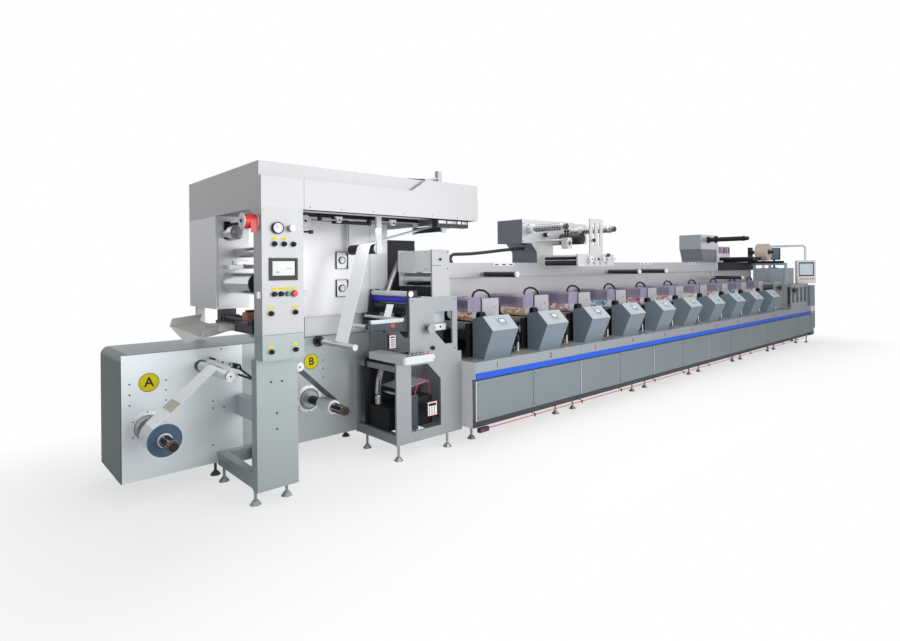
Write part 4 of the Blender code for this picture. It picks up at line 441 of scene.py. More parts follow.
class Dresser:
    """Turns finishes into materials and puts them on CAD nodes and on new pieces."""

    def __init__(self) -> None:
        """Start with no materials."""
        self._made: dict[str, bpy.types.Material] = {}

    def material(self, name: str, finish: Finish,
                 zones: Sequence[Zone]) -> bpy.types.Material:
        """Return the material of a finish, with zones that differ from it.

        Args:
            name: The name of the material, which is made once.
            finish: The main finish.
            zones: Stretches with their own finish, later ones over earlier ones.

        Returns:
            The material.
        """
        if name in self._made:
            return self._made[name]
        shade = Shade(name)
        colour, rough, height = finish.channels(shade)
        metallic: Sock | float = finish.metallic
        clear: Sock | float = 1.0
        for zone in zones:
            mask = zone.mask(shade)
            zone_colour, zone_rough, zone_height = zone.finish.channels(shade)
            colour = shade.mix(mask, colour, zone_colour)
            rough = shade.blend(mask, rough, zone_rough)
            height = shade.blend(mask, height, zone_height)
            metallic = shade.blend(mask, metallic, zone.finish.metallic)
            if zone.alpha < 1.0 or isinstance(clear, Sock):
                clear = shade.blend(mask, clear, zone.alpha)
        shade.feed("Base Color", colour)
        shade.feed("Roughness", rough)
        shade.feed("Metallic", metallic)
        shade.feed("Alpha", clear)
        shade.feed("Coat Weight", finish.coat)
        shade.feed("Specular IOR Level", finish.shine)
        # Painted light: the surface glows in its own colour.
        if finish.glow:
            shade.feed("Emission Color", colour)
            shade.feed("Emission Strength", finish.glow)
        bump = shade.node("ShaderNodeBump", None, {
            "Strength": finish.relief, "Distance": BUMP_DEPTH, "Height": height})
        shade.feed("Normal", Sock(shade, bump.outputs[0]))
        self._made[name] = shade.material
        return shade.material

    def dress(self, nodes: Iterable[str], name: str, finish: Finish,
              zones: Sequence[Zone] = ()) -> None:
        """Give CAD nodes a finish.

        Args:
            nodes: The names of the nodes.
            name: The name of the material.
            finish: The main finish.
            zones: Stretches with their own finish.
        """
        material = self.material(name, finish, zones)
        for node in nodes:
            obj = FRAME_NODES[node]
            for slot in obj.material_slots:
                slot.material = material

    def paint(self, obj: bpy.types.Object, name: str, finish: Finish,
              zones: Sequence[Zone] = ()) -> None:
        """Give a new piece its material.

        Args:
            obj: The piece.
            name: The name of the material.
            finish: The main finish.
            zones: Stretches with their own finish.
        """
        obj.data.materials.clear()
        obj.data.materials.append(self.material(name, finish, zones))


FRAME_NODES: dict[str, bpy.types.Object] = {}


def tip_of(node: str) -> Vector:
    """The middle of the front end of a CAD node that lies along y."""
    low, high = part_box(node)
    return Vector(((low.x + high.x) / 2, low.y, (low.z + high.z) / 2))


class Origin:
    """Turns places on the press into places in the frame."""

    def __init__(self) -> None:
        """Find the left face of the tower and the front of the machine wall."""
        self.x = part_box("tower_column")[0].x
        self.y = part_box("unwind_face")[0].y

    def at(self, x: float, y: float, z: float) -> Vector:
        """A place of the press in the frame."""
        return Vector((x + self.x, y + self.y, z))

    def span_x(self, low: float, high: float) -> Span:
        """A stretch along the press in the frame."""
        return low + self.x, high + self.x

    def span_y(self, low: float, high: float) -> Span:
        """A stretch across the press in the frame."""
        return low + self.y, high + self.y


class Mesher:
    """Collects several simple forms into one mesh, in the frame of the press."""

    def __init__(self, name: str) -> None:
        """Start an empty mesh.

        Args:
            name: The name of the piece that it becomes.
        """
        self.name = name
        self.bm = bmesh.new()

    def _grow(self, made: bmesh.types.BMesh, matrix: Matrix) -> None:
        """Add another mesh after moving it into place.

        Args:
            made: The mesh to add, which is freed.
            matrix: Where it goes.
        """
        made.transform(matrix)
        mesh = bpy.data.meshes.new("part")
        made.to_mesh(mesh)
        made.free()
        self.bm.from_mesh(mesh)
        bpy.data.meshes.remove(mesh)

    @staticmethod
    def _ring(radius: float, sides: int, along: float = 0.0) -> list[Vector]:
        """The points of a circle about z."""
        angles = (2 * math.pi * i / sides for i in range(sides))
        return [Vector((radius * math.cos(a), radius * math.sin(a), along)) for a in angles]

    def _skin(self, rings: Sequence[Sequence[Vector]], matrix: Matrix = Matrix.Identity(4),
              bore: bool = False) -> "Mesher":
        """Add the closed form that passes through rings of points.

        Args:
            rings: Rings with the same number of points.
            matrix: Where the form goes.
            bore: Whether the last ring joins the first and leaves a bore.

        Returns:
            This mesh.
        """
        made = bmesh.new()
        loops = [[made.verts.new(point) for point in ring] for ring in rings]
        pairs = list(zip(loops, loops[1:])) + ([(loops[-1], loops[0])] if bore else [])
        for one, two in pairs:
            for i in range(len(one)):
                made.faces.new((one[i - 1], one[i], two[i], two[i - 1]))
        if not bore:
            made.faces.new(loops[0][::-1])
            made.faces.new(loops[-1])
        bmesh.ops.recalc_face_normals(made, faces=made.faces)
        self._grow(made, matrix)
        return self

    def block(self, low: Vector, high: Vector, bevel: float,
              turn: Matrix | None = None) -> "Mesher":
        """Add a block with eased edges between two corners.

        Args:
            low: The lowest corner.
            high: The highest corner.
            bevel: The width of the eased edges.
            turn: A rotation about the block's middle.

        Returns:
            This mesh.
        """
        made = bmesh.new()
        bmesh.ops.create_cube(made, size=1.0)
        size = high - low
        made.transform(Matrix.Diagonal((*size, 1.0)))
        if bevel > 0.0:
            bmesh.ops.bevel(made, geom=made.edges[:], offset=min(bevel, min(size) * 0.4),
                            segments=2, affect="EDGES", profile=0.7)
        middle = Matrix.Translation((low + high) / 2)
        self._grow(made, middle @ (turn or Matrix.Identity(4)))
        return self

    def lathe(self, base: Vector, axis: Vector, profile: Sequence[Span],
              sides: int = 24, hollow: bool = False) -> "Mesher":
        """Add a turned form.

        Args:
            base: The place that distances along the axis count from.
            axis: The direction of the axis.
            profile: Pairs of distance along the axis and radius.
            sides: How many sides go round.
            hollow: Whether the profile closes on itself and leaves a bore.

        Returns:
            This mesh.
        """
        rings = [self._ring(radius, sides, along) for along, radius in profile]
        turn = axis.to_track_quat("Z", "Y").to_matrix().to_4x4()
        return self._skin(rings, Matrix.Translation(base) @ turn, hollow)

    def rod(self, start: Vector, end: Vector, radius: float, sides: int = 20) -> "Mesher":
        """Add a round bar with eased ends between two places.

        Args:
            start: The middle of one end.
            end: The middle of the other.
            radius: The radius of the bar.
            sides: How many sides go round.

        Returns:
            This mesh.
        """
        length = (end - start).length
        ease = min(0.0012, radius * 0.3, length * 0.3)
        profile = [(0.0, radius - ease), (ease, radius), (length - ease, radius),
                   (length, radius - ease)]
        return self.lathe(start, end - start, profile, sides)

    def seam(self, y: float, x: Span, z: Span, rise: float = 0.0006,
             facing: Vector = FORWARD) -> "Mesher":
        """Add a flat line on an upright face.

        Args:
            y: Where the face stands.
            x: The span of the line along the press.
            z: Its span of heights.
            rise: How far it stands out.
            facing: The direction that the face looks.

        Returns:
            This mesh.
        """
        near, far = sorted((y + facing.y * SEAM_GAP, y + facing.y * rise))
        return self.block(Vector((x[0], near, z[0])), Vector((x[1], far, z[1])), 0.0)

    def screws(self, places: Iterable[Vector], radius: float, proud: float = 0.0016,
               facing: Vector = FORWARD) -> "Mesher":
        """Add low round screw heads on a flat face.

        Args:
            places: Where the heads sit.
            radius: The radius of a head.
            proud: How far it stands out.
            facing: The direction that the face looks.

        Returns:
            This mesh.
        """
        for place in places:
            self.lathe(place, facing, [
                (SEAM_GAP, radius), (proud * 0.6, radius), (proud, radius * 0.7)], 12)
        return self

    def ribbed(self, path: Sequence[Vector], radius: float, pitch: float,
               depth: float) -> "Mesher":
        """Add a corrugated duct along a smooth line.

        Args:
            path: The places that its middle passes.
            radius: The outer radius.
            pitch: The distance between ribs.
            depth: How deep the folds are.

        Returns:
            This mesh.
        """
        fine = []
        for i in range(len(path) - 1):
            before = path[max(i - 1, 0)]
            after = path[min(i + 2, len(path) - 1)]
            steps = max(2, int((path[i + 1] - path[i]).length / (pitch * 0.5)))
            for k in range(steps):
                t = k / steps
                fine.append(0.5 * ((2 * path[i]) + (path[i + 1] - before) * t
                                   + (2 * before - 5 * path[i] + 4 * path[i + 1] - after) * t * t
                                   + (3 * path[i] - before - 3 * path[i + 1] + after) * t ** 3))
        fine.append(path[-1])
        rings = []
        for i, place in enumerate(fine):
            heading = fine[min(i + 1, len(fine) - 1)] - fine[max(i - 1, 0)]
            turn = heading.to_track_quat("Z", "Y").to_matrix()
            rings.append([place + turn @ point
                          for point in self._ring(radius - depth * (i % 2), 20)])
        return self._skin(rings)

    def loft(self, outline: Sequence[Vector], offset: Vector) -> "Mesher":
        """Add a flat outline pushed along an offset."""
        return self._skin([outline, [point + offset for point in outline]])

    def done(self, body: str = "frame", slot: str = "black_metal") -> bpy.types.Object:
        """Turn the mesh into a piece of the press.

        Args:
            body: The CAD body that it moves with.
            slot: Not used.

        Returns:
            The piece.
        """
        mesh = bpy.data.meshes.new(self.name)
        self.bm.to_mesh(mesh)
        self.bm.free()
        mesh.shade_smooth()
        mesh.set_sharp_from_angle(angle=SHARP_ANGLE)
        obj = bpy.data.objects.new(self.name, mesh)
        bpy.context.scene.collection.objects.link(obj)
        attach(obj, body)
        LOG.info("%s: %d faces on %s", self.name, len(mesh.polygons), body)
        return obj


def lettering(name: str, text: str, middle: Vector, size: float) -> bpy.types.Object:
    """A letter or number that stands on an upright face of the operator side.

    Args:
        name: The name of the piece.
        text: The letter or number.
        middle: The middle of the text.
        size: The height of the text.

    Returns:
        The piece.
    """
    font = bpy.data.curves.new(name, "FONT")
    font.body = text
    font.size = size
    font.align_x = "CENTER"
    font.align_y = "CENTER"
    font.extrude = 0.0004
    font.offset = 0.0018
    font.resolution_u = 3
    obj = bpy.data.objects.new(name, font)
    obj.matrix_world = Matrix.Translation(middle) @ UPRIGHT
    bpy.context.scene.collection.objects.link(obj)
    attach(obj, "frame")
    return obj


class Kit:
    """The small fittings of one sub-assembly, gathered in one mesh for each finish."""

    def __init__(self, dresser: Dresser, name: str) -> None:
        """Start with no fittings.

        Args:
            dresser: What paints them.
            name: The start of the names of the pieces.
        """
        self.dresser = dresser
        self.name = name
        self._meshes: dict[Trim, Mesher] = {}

    def of(self, trim: Trim) -> Mesher:
        """The mesh of the fittings with one finish.

        Args:
            trim: The finish.

        Returns:
            The mesh that gathers them.
        """
        if trim not in self._meshes:
            self._meshes[trim] = Mesher(f"{self.name}_{trim.name.lower()}")
        return self._meshes[trim]

    def close(self) -> None:
        """Turn the gathered fittings into painted pieces."""
        for trim, mesher in self._meshes.items():
            finish, slot = trim.value
            piece = mesher.done(slot=slot)
            self.dresser.paint(piece, f"trim_{trim.name.lower()}", finish)


@dataclass
class Section:
    """One stretch of the press, with what finishes it and gathers its fittings."""

    origin: Origin
    dresser: Dresser
    kit: Kit


@dataclass
class Unwinder(Section):
    """The casing with its two reels and the lettered discs."""

    disc_r: float = 0.065
    disc_a: Span = (-0.482, 0.838)
    disc_b: Span = (0.811, 0.835)
    shaft_r: float = 0.037
    chuck_r: float = 0.0915
    bolt_circle_r: float = 0.1115
    screw_r: float = 0.006
    reel_depth: Span = (0.190, 0.391)
    strip_count: int = 6

    def dress(self) -> None:
        """Give the casing, the wall and the reels their finishes."""
        o, dresser = self.origin, self.dresser
        # The top band of the casing is lighter than its sides: painted light on the top.
        dresser.dress(["unwind_casing"], "casing_paint", Palette.CASING, [
            Zone(lambda s: s.inside(z=(1.0490, 1.1)), Palette.CASING_LIT_TOP)])
        # The wall face right of the column gets the darker copy: painted shade from the column.
        dresser.dress(["unwind_face"], "unwind_face_steel", Palette.FACE, [
            Zone(lambda s: s.inside(x=o.span_x(0.200, 2.0)), Palette.FACE_PAINTED_SHADE)])
        for label in ("a", "b"):
            self.spindle(label)
            dresser.dress([f"guide_roller_{label}"], "guide_roller_chrome", Palette.CHROME)
        # The liner of reel A glows: painted light.
        dresser.dress(["web_a"], "liner_painted_glow", Palette.FILM, [
            Zone(lambda s: s.inside(x=o.span_x(-0.485, -0.395), z=(0.695, 0.765)), Palette.TAN)])
        # Web B shows its underside in shadow, coloured dark: painted shade.
        dresser.dress(["web_b"], "liner_painted_shade", Palette.FILM_PAINTED_SHADE)
        self.discs()
        self.wall_fittings()
        self.kit.close()

    def spindle(self, label: str) -> None:
        """Finish one air shaft with its reel, and add its strips and rings.

        Args:
            label: The letter of the reel.
        """
        dresser = self.dresser
        node = f"unwind_spindle_{label}"
        low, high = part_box(node)
        tip = tip_of(node)
        wall = high.y
        reel = (low.y + self.reel_depth[0], low.y + self.reel_depth[1])
        rim = Palette.FILM if label == "a" else Palette.PAPER
        front = Palette.REEL if label == "a" else Palette.PAPER
        dresser.dress([node], f"spindle_{label}_finish", Palette.BLACK, [
            Zone(lambda s: s.inside(y=(wall - 0.060, wall + 0.01)), Palette.STEEL),
            Zone(lambda s: s.inside(y=(low.y + 0.001, low.y + 0.010)), Palette.COPPER),
            Zone(lambda s: s.inside(y=reel), rim),
            Zone(lambda s: s.inside(y=(reel[0] - 0.001, reel[0] + 0.0012)), front),
            Zone(lambda s: s.inside(y=(reel[0] - 0.002, reel[0] + 0.003))
                 * s.barrel((tip.x, tip.z), 0.048), Palette.PALE),
        ])
        strips = Mesher(f"shaft_strips_{label}")
        for i in range(self.strip_count):
            angle = 2 * math.pi * i / self.strip_count
            out = Vector((math.cos(angle), 0.0, math.sin(angle))) * self.shaft_r
            centre = tip + out + Vector((0, 0.100, 0))
            half = Vector((0.0045, 0.066, 0.0015))
            strips.block(centre - half, centre + half, 0.0012,
                         Matrix.Rotation(-angle + math.pi / 2, 4, "Y"))
        dresser.paint(strips.done(node, "brushed_steel"), "strip_steel", Palette.CHROME)
        rings = Mesher(f"shaft_rings_{label}")
        for start in (0.020, 0.170):
            rings.lathe(tip, BACK, [
                (start, self.shaft_r + 0.0005), (start + 0.002, self.shaft_r + 0.003),
                (start + 0.010, self.shaft_r + 0.003), (start + 0.012, self.shaft_r + 0.0005)],
                sides=40)
        dresser.paint(rings.done(node, "brushed_steel"), "ring_copper", Palette.COPPER)

    def discs(self) -> None:
        """The yellow discs that tell the two reels apart."""
        kit = self.kit
        for label, (x, z) in (("a", self.disc_a), ("b", self.disc_b)):
            base = self.origin.at(x, 0.0, z)
            kit.of(Trim.YELLOW).lathe(base, FORWARD, [
                (PROUD, self.disc_r), (0.0022, self.disc_r), (0.0030, self.disc_r - 0.0012)],
                sides=48)
            kit.of(Trim.BLACK).lathe(base, FORWARD, [
                (PROUD, self.disc_r), (PROUD, self.disc_r + 0.0035),
                (0.0016, self.disc_r + 0.0035), (0.0016, self.disc_r)], 48, hollow=True)
            text = lettering(f"letter_{label}", label.upper(), base + FORWARD * 0.0034,
                             self.disc_r * 1.45)
            self.dresser.paint(text, "trim_black", Palette.BLACK)

    def wall_fittings(self) -> None:
        """Flanges, screws, the cross beam and the web sensor on the wall."""
        o, kit = self.origin, self.kit
        dark = kit.of(Trim.BLACK)
        for label in ("a", "b"):
            tip = tip_of(f"unwind_spindle_{label}")
            x, z = tip.x - o.x, tip.z
            base = o.at(x, 0.0, z)
            kit.of(Trim.FACE).lathe(base, FORWARD, [
                (PROUD, self.chuck_r), (PROUD, 0.118), (0.0045, 0.117), (0.0055, 0.106),
                (0.0100, 0.105), (0.0110, self.chuck_r)], 64, hollow=True)
            reach = self.bolt_circle_r
            dark.screws([o.at(x + reach * math.cos(a), -0.0050, z + reach * math.sin(a))
                         for a in (math.radians(30 + 60 * i) for i in range(6))],
                        0.0048, 0.0034)
        left = [o.at(-0.608, 0.0, 0.841 - 0.0755 * i) for i in range(3)]
        left += [o.at(-0.368, 0.0, 0.840 - 0.074 * i) for i in range(3)]
        right = [o.at(0.927, 0.0, 0.835 - 0.076 * i) for i in range(3)]
        lone = [o.at(-0.032, 0.0, 0.628), o.at(-0.032, 0.0, 0.574), o.at(0.052, 0.0, 0.567),
                o.at(-0.035, 0.0, 0.287), o.at(0.033, 0.0, 1.026)]
        dark.screws(left + right + lone, self.screw_r, 0.0022)
        kit.of(Trim.PALE).block(o.at(0.0085, -0.0012, 0.300), o.at(0.0125, -0.0002, 1.045), 0.0)
        kit.of(Trim.SLATE).block(o.at(0.147, -0.6690, 0.495), o.at(0.215, -0.0005, 0.655), 0.004)
        dark.screws([o.at(0.181, -0.6692, z) for z in (0.520, 0.630)], 0.009, 0.004)
        kit.of(Trim.WHITE).loft([o.at(-0.100, -0.345, 0.999), o.at(-0.002, -0.345, 0.957),
                                 o.at(-0.010, -0.345, 0.933), o.at(-0.108, -0.345, 0.975)],
                                Vector((0, 0.075, 0)))
        dark.screws([o.at(-0.080, -0.345, 0.977), o.at(-0.030, -0.345, 0.956)], 0.007, 0.003)
        dark.rod(o.at(-0.050, -0.0003, 0.966), o.at(-0.050, -0.280, 0.966), 0.008)
        dark.loft([o.at(-0.010, -0.355, 0.960), o.at(0.048, -0.355, 0.948),
                   o.at(0.062, -0.355, 0.900), o.at(0.006, -0.355, 0.920)], Vector((0, 0.095, 0)))
        kit.of(Trim.STEEL).screws([o.at(0.030, -0.355, 0.930)], 0.010, 0.004)
        dark.rod(o.at(0.034, -0.330, 0.926), o.at(0.170, -0.330, 0.808), 0.007)
        kit.of(Trim.STEEL).rod(o.at(0.036, -0.280, 0.930), o.at(0.182, -0.280, 0.806), 0.007)
        dark.rod(o.at(0.174, -0.0003, 0.806), o.at(0.174, -0.345, 0.806), 0.009)
        for node in ("guide_roller_a", "guide_roller_b"):
            tip = tip_of(node)
            kit.of(Trim.WHITE).lathe(tip, FORWARD, [
                (PROUD, 0.033), (0.0030, 0.033), (0.0045, 0.030)], 40)
            kit.of(Trim.DARK).lathe(tip, FORWARD, [(0.0040, 0.007), (0.0075, 0.006)], 16)


@dataclass
class Tower(Section):
    """The tower with its operator panel, canopy, cabinets and rollers."""

    touch: tuple[float, float, float, float] = (0.050, 0.255, 1.573, 1.726)
    touch_inset: float = 0.022
    gauge: Span = (0.109, 1.930)
    gauge_r: float = 0.038
    knob_r: float = 0.015
    front: float = -0.857
    column_front: float = -0.755
    under: float = 2.0697
    gauge_z: Span = (1.725, 1.470)
    small_gauge_r: float = 0.030
    dial_marks: int = 9
    needle_angle: float = 0.85
    tape: Place = (-0.1035, -0.775, 1.975)
    tape_r: float = 0.050

    def dress(self) -> None:
        """Give every tower node its finish."""
        o, dresser = self.origin, self.dresser
        dresser.dress(["canopy"], "canopy_steel", Palette.CANOPY, [
            Zone(lambda s: s.inside(x=o.span_x(0.85, 1.625), y=o.span_y(-0.625, -0.395),
                                    z=(2.3885, 2.46)), Palette.BLACK)])
        dresser.dress(["tower_column", "tower_base"], "column_paint", Palette.COLUMN)
        dresser.dress(["operator_panel"], "panel_steel", Palette.PANEL, [
            Zone(lambda s: s.inside(z=(0.9, 1.204)), Palette.COLUMN),
            Zone(lambda s: s.inside(y=o.span_y(-2.0, self.front - 0.002)), Palette.BLACK),
            Zone(lambda s: s.inside(x=o.span_x(0.165, 0.290), z=(1.885, 1.975),
                                    y=o.span_y(-2.0, self.front - 0.002)), Palette.STEEL),
        ])
        dresser.dress(["tower_cabinet_left"], "cabinet_left_steel", Palette.PALE)
        dresser.dress(["tower_cabinet_right"], "cabinet_right_steel", Palette.PALE)
        dresser.dress(["tower_rollers"], "tower_roller_finish", Palette.CHROME, [
            Zone(lambda s: s.inside(y=o.span_y(-0.013, 0.0)), Palette.PALE),
            Zone(lambda s: s.inside(y=o.span_y(-0.62, -0.545)), Palette.BLACK),
        ])
        dresser.dress(["roller_c"], "roller_c_steel", Palette.CHROME, [
            Zone(lambda s: s.inside(y=o.span_y(-0.100, 0.1)), Palette.RUBBER)])
        dresser.dress(["canopy_rollers"], "canopy_roller_black", Palette.RUBBER, [
            Zone(lambda s: s.inside(y=o.span_y(-0.81, -0.60)), Palette.DARK),
            Zone(lambda s: s.inside(z=(1.70, 2.10), y=o.span_y(-0.522, -0.498)), Palette.WHITE),
            Zone(lambda s: s.inside(z=(1.70, 2.10), y=o.span_y(-0.082, -0.050)), Palette.WHITE),
        ])
        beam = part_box("splice_tray")[1].x - 0.142
        dresser.dress(["splice_tray"], "splice_tray_steel", Palette.WARM, [
            Zone(lambda s: s.inside(x=(beam, beam + 0.5), z=(1.18, 1.36)), Palette.DARK)])
        # The web's climb to the canopy is coloured dark: painted shade on its underside.
        dresser.dress(["web_main"], "web_paper", Palette.WEB, [
            Zone(lambda s: s.inside(x=o.span_x(1.208, 2.0), z=(1.78, 2.12)), Palette.WEB_PAINTED_SHADE)])
        self.panel_fittings()
        self.gauge_faces()
        self.column_fittings()
        self.tape_and_clamps()
        self.canopy_fittings()
        self.kit.close()

    def panel_fittings(self) -> None:
        """The touch screen, knobs, buttons and yellow tags of the operator panel."""
        o, kit = self.origin, self.kit
        x0, x1, z0, z1 = self.touch
        inset = self.touch_inset
        glass = Mesher("touch_glass").block(
            o.at(x0 + inset, self.front - 0.0072, z0 + inset * 1.5),
            o.at(x1 - inset, self.front - 0.0052, z1 - inset), 0.0005)
        self.dresser.paint(glass.done(slot="white_paint"), "touch_picture", Palette.WHITE, [
            Zone(lambda s: s.inside(x=o.span_x(x0 + 0.045, x0 + 0.070),
                                    z=(z0 + 0.050, z0 + 0.062)), Palette.GREEN_SOFT),
            Zone(lambda s: s.inside(x=o.span_x(x0 + 0.120, x0 + 0.160),
                                    z=(z0 + 0.078, z0 + 0.084)), Palette.PLATE_GREY)])
        rows = [[(x0 + 0.037 + 0.069 * i, z1 + 0.096) for i in range(3)],
                [(x0 + 0.033 + 0.048 * i, z0 - 0.092) for i in range(4)],
                [(x0 + 0.010, z0 - 0.222), (x0 + 0.185, z0 - 0.222)],
                [(x0 + 0.010, 1.092), (x0 + 0.185, 1.092)]]
        for row in rows:
            for i, (x, z) in enumerate(row):
                tagged = len(row) != 3 or i < 2
                trim = Trim.BLACK
                if len(row) == 4 and i > 1:
                    trim = Trim.GREEN if i == 2 else Trim.RED
                radius = self.knob_r * (1.45 if trim is Trim.RED else 1.1)
                kit.of(Trim.STEEL).lathe(o.at(x, self.front, z), FORWARD, [
                    (PROUD, radius * 1.3), (0.003, radius * 1.3), (0.004, radius * 1.2)], 24)
                kit.of(trim).lathe(o.at(x, self.front - 0.003, z), FORWARD, [
                    (0.0, radius * 1.1), (0.006, radius * 1.1), (0.008, radius),
                    (0.022, radius * 0.95), (0.026, radius * 0.7)], sides=20)
                if trim is Trim.BLACK and len(row) != 4:
                    kit.of(trim).block(o.at(x - 0.004, self.front - 0.036, z - 0.012),
                                       o.at(x + 0.004, self.front - 0.018, z + 0.012), 0.001)
                if tagged:
                    kit.of(Trim.YELLOW).block(
                        o.at(x - 0.018, self.front - 0.0014, z + 0.027),
                        o.at(x + 0.018, self.front - 0.0002, z + 0.044), 0.0)
        kit.of(Trim.DARK).seam(o.y + self.front, o.span_x(0.004, 0.299), (1.2030, 1.2052))
        kit.of(Trim.STEEL).screws([o.at(x, self.front, z) for x in (0.014, 0.289)
                                   for z in (1.048, 1.222, 1.520, 1.790, 2.050)], 0.0042, 0.002)

    def gauge_faces(self) -> None:
        """The dials of the operator panel and of the two gauge plates."""
        o, kit = self.origin, self.kit
        dials = [(self.gauge[0], self.front - 0.022, self.gauge[1], self.gauge_r)]
        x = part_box("tower_cabinet_right")[0].x - o.x + 0.395
        dials += [(x, -0.018, z, self.small_gauge_r) for z in self.gauge_z]
        for x, y, z, radius in dials:
            base = o.at(x, y, z)
            kit.of(Trim.BLACK).lathe(base, FORWARD, [
                (-0.014, radius - 0.002), (-0.014, radius + 0.003), (0.002, radius + 0.003),
                (0.003, radius), (0.001, radius - 0.004)], 40, hollow=True)
            kit.of(Trim.WHITE).lathe(base, FORWARD, [
                (0.0006, radius - 0.004), (0.0012, radius - 0.004)], sides=32)
            marks = kit.of(Trim.DARK)
            for i in range(self.dial_marks):
                angle = math.radians(-225 + 270 * i / (self.dial_marks - 1))
                out = Vector((math.cos(-angle), 0, math.sin(-angle))) * radius * 0.72
                half = Vector((radius * 0.09, 0.0003, radius * 0.022))
                centre = base + FORWARD * 0.0016 + out
                marks.block(centre - half, centre + half, 0.0,
                            Matrix.Rotation(angle, 4, "Y"))
            half = Vector((radius * 0.34, 0.0004, radius * 0.025))
            centre = base + FORWARD * 0.0022 + Vector((-0.2, 0, 0.22)) * radius
            marks.block(centre - half, centre + half, 0.0,
                        Matrix.Rotation(self.needle_angle, 4, "Y"))
        plate = dials[1][0]
        outline = kit.of(Trim.BLACK)
        for z in self.gauge_z:
            for x0, x1, z0, z1 in ((-0.062, -0.058, -0.075, 0.075), (0.058, 0.062, -0.075, 0.075),
                                   (-0.062, 0.062, -0.079, -0.075), (-0.062, 0.062, 0.075, 0.079)):
                outline.block(o.at(plate + x0, -0.0182, z + z0),
                              o.at(plate + x1, -0.0004, z + z1), 0.0)

    def column_fittings(self) -> None:
        """Rivets of the column, the left cabinet's seam and the blocks on the tray."""
        o, kit = self.origin, self.kit
        spots = [o.at(x, self.column_front, z) for x, z in (
            (0.102, 0.867), (0.183, 0.862), (0.144, 0.644), (0.143, 0.533))]
        kit.of(Trim.BLACK).screws(spots, 0.0075, 0.003)
        kit.of(Trim.BRICK).block(o.at(0.044, -0.500, 1.2503), o.at(0.140, -0.400, 1.336), 0.006)
        kit.of(Trim.BLACK).block(o.at(0.058, -0.478, 1.3355), o.at(0.126, -0.422, 1.352), 0.003)
        kit.of(Trim.WHITE).block(o.at(0.040, -0.560, 1.158), o.at(0.068, -0.520, 1.1897), 0.003)
        kit.of(Trim.DARK).seam(o.y, o.span_x(0.0985, 0.1005), (1.345, 1.93), 0.0005)

    def tape_and_clamps(self) -> None:
        """The red splicing tape, its wall clamp and the small parts of the tower bay."""
        o, kit = self.origin, self.kit
        along = Vector((1, 0, 0))
        tape = o.at(*self.tape)
        radius = self.tape_r
        kit.of(Trim.RED).lathe(tape, along, [(0.008, radius), (0.094, radius)], 40)
        for start in (0.000, 0.094):
            kit.of(Trim.WHITE).lathe(tape, along, [
                (start, radius + 0.002), (start + 0.001, radius + 0.004),
                (start + 0.007, radius + 0.004), (start + 0.008, radius + 0.002)], 40)
        kit.of(Trim.BLACK).lathe(tape, along, [(-0.006, 0.012), (0.103, 0.012)], 20)
        kit.of(Trim.RED).block(o.at(-0.060, -0.8262, 1.896), o.at(-0.014, -0.8246, 1.978), 0.0004)
        black = kit.of(Trim.BLACK)
        black.rod(o.at(0.090, -0.0003, 2.000), o.at(0.090, -0.325, 2.000), 0.012)
        black.block(o.at(0.060, -0.030, 1.890), o.at(0.105, -0.0003, 2.030), 0.004)
        black.block(o.at(0.128, -0.046, 1.950), o.at(0.186, -0.0003, 1.995), 0.005)
        black.rod(o.at(0.062, -0.034, 2.026), o.at(0.118, -0.034, 1.912), 0.007)
        black.rod(o.at(0.092, -0.040, 2.026), o.at(0.148, -0.040, 1.930), 0.006)
        black.screws([o.at(0.024, 0.0, 2.008), o.at(0.196, 0.0, 1.887), o.at(0.188, 0.0, 1.935),
                      o.at(0.091, 0.0, 1.750), o.at(0.091, 0.0, 1.726)], 0.007, 0.003)
        kit.of(Trim.RED).block(o.at(0.085, -0.040, 1.880), o.at(0.124, -0.012, 1.901), 0.003)
        kit.of(Trim.STEEL).block(o.at(0.122, -0.020, 1.662), o.at(0.243, -0.0003, 1.718), 0.003)
        kit.of(Trim.RED).screws([o.at(0.150, -0.020, 1.690)], 0.007, 0.004)
        black.screws([o.at(0.215, -0.020, 1.690)], 0.006, 0.004)
        for x, z, radius in ((0.170, 1.780, 0.050), (0.110, 1.545, 0.070)):
            black.lathe(o.at(x, 0.0, z), FORWARD, [
                (PROUD, radius * 0.6), (PROUD, radius), (0.008, radius),
                (0.010, radius - 0.004), (0.010, radius * 0.6)], 40, hollow=True)

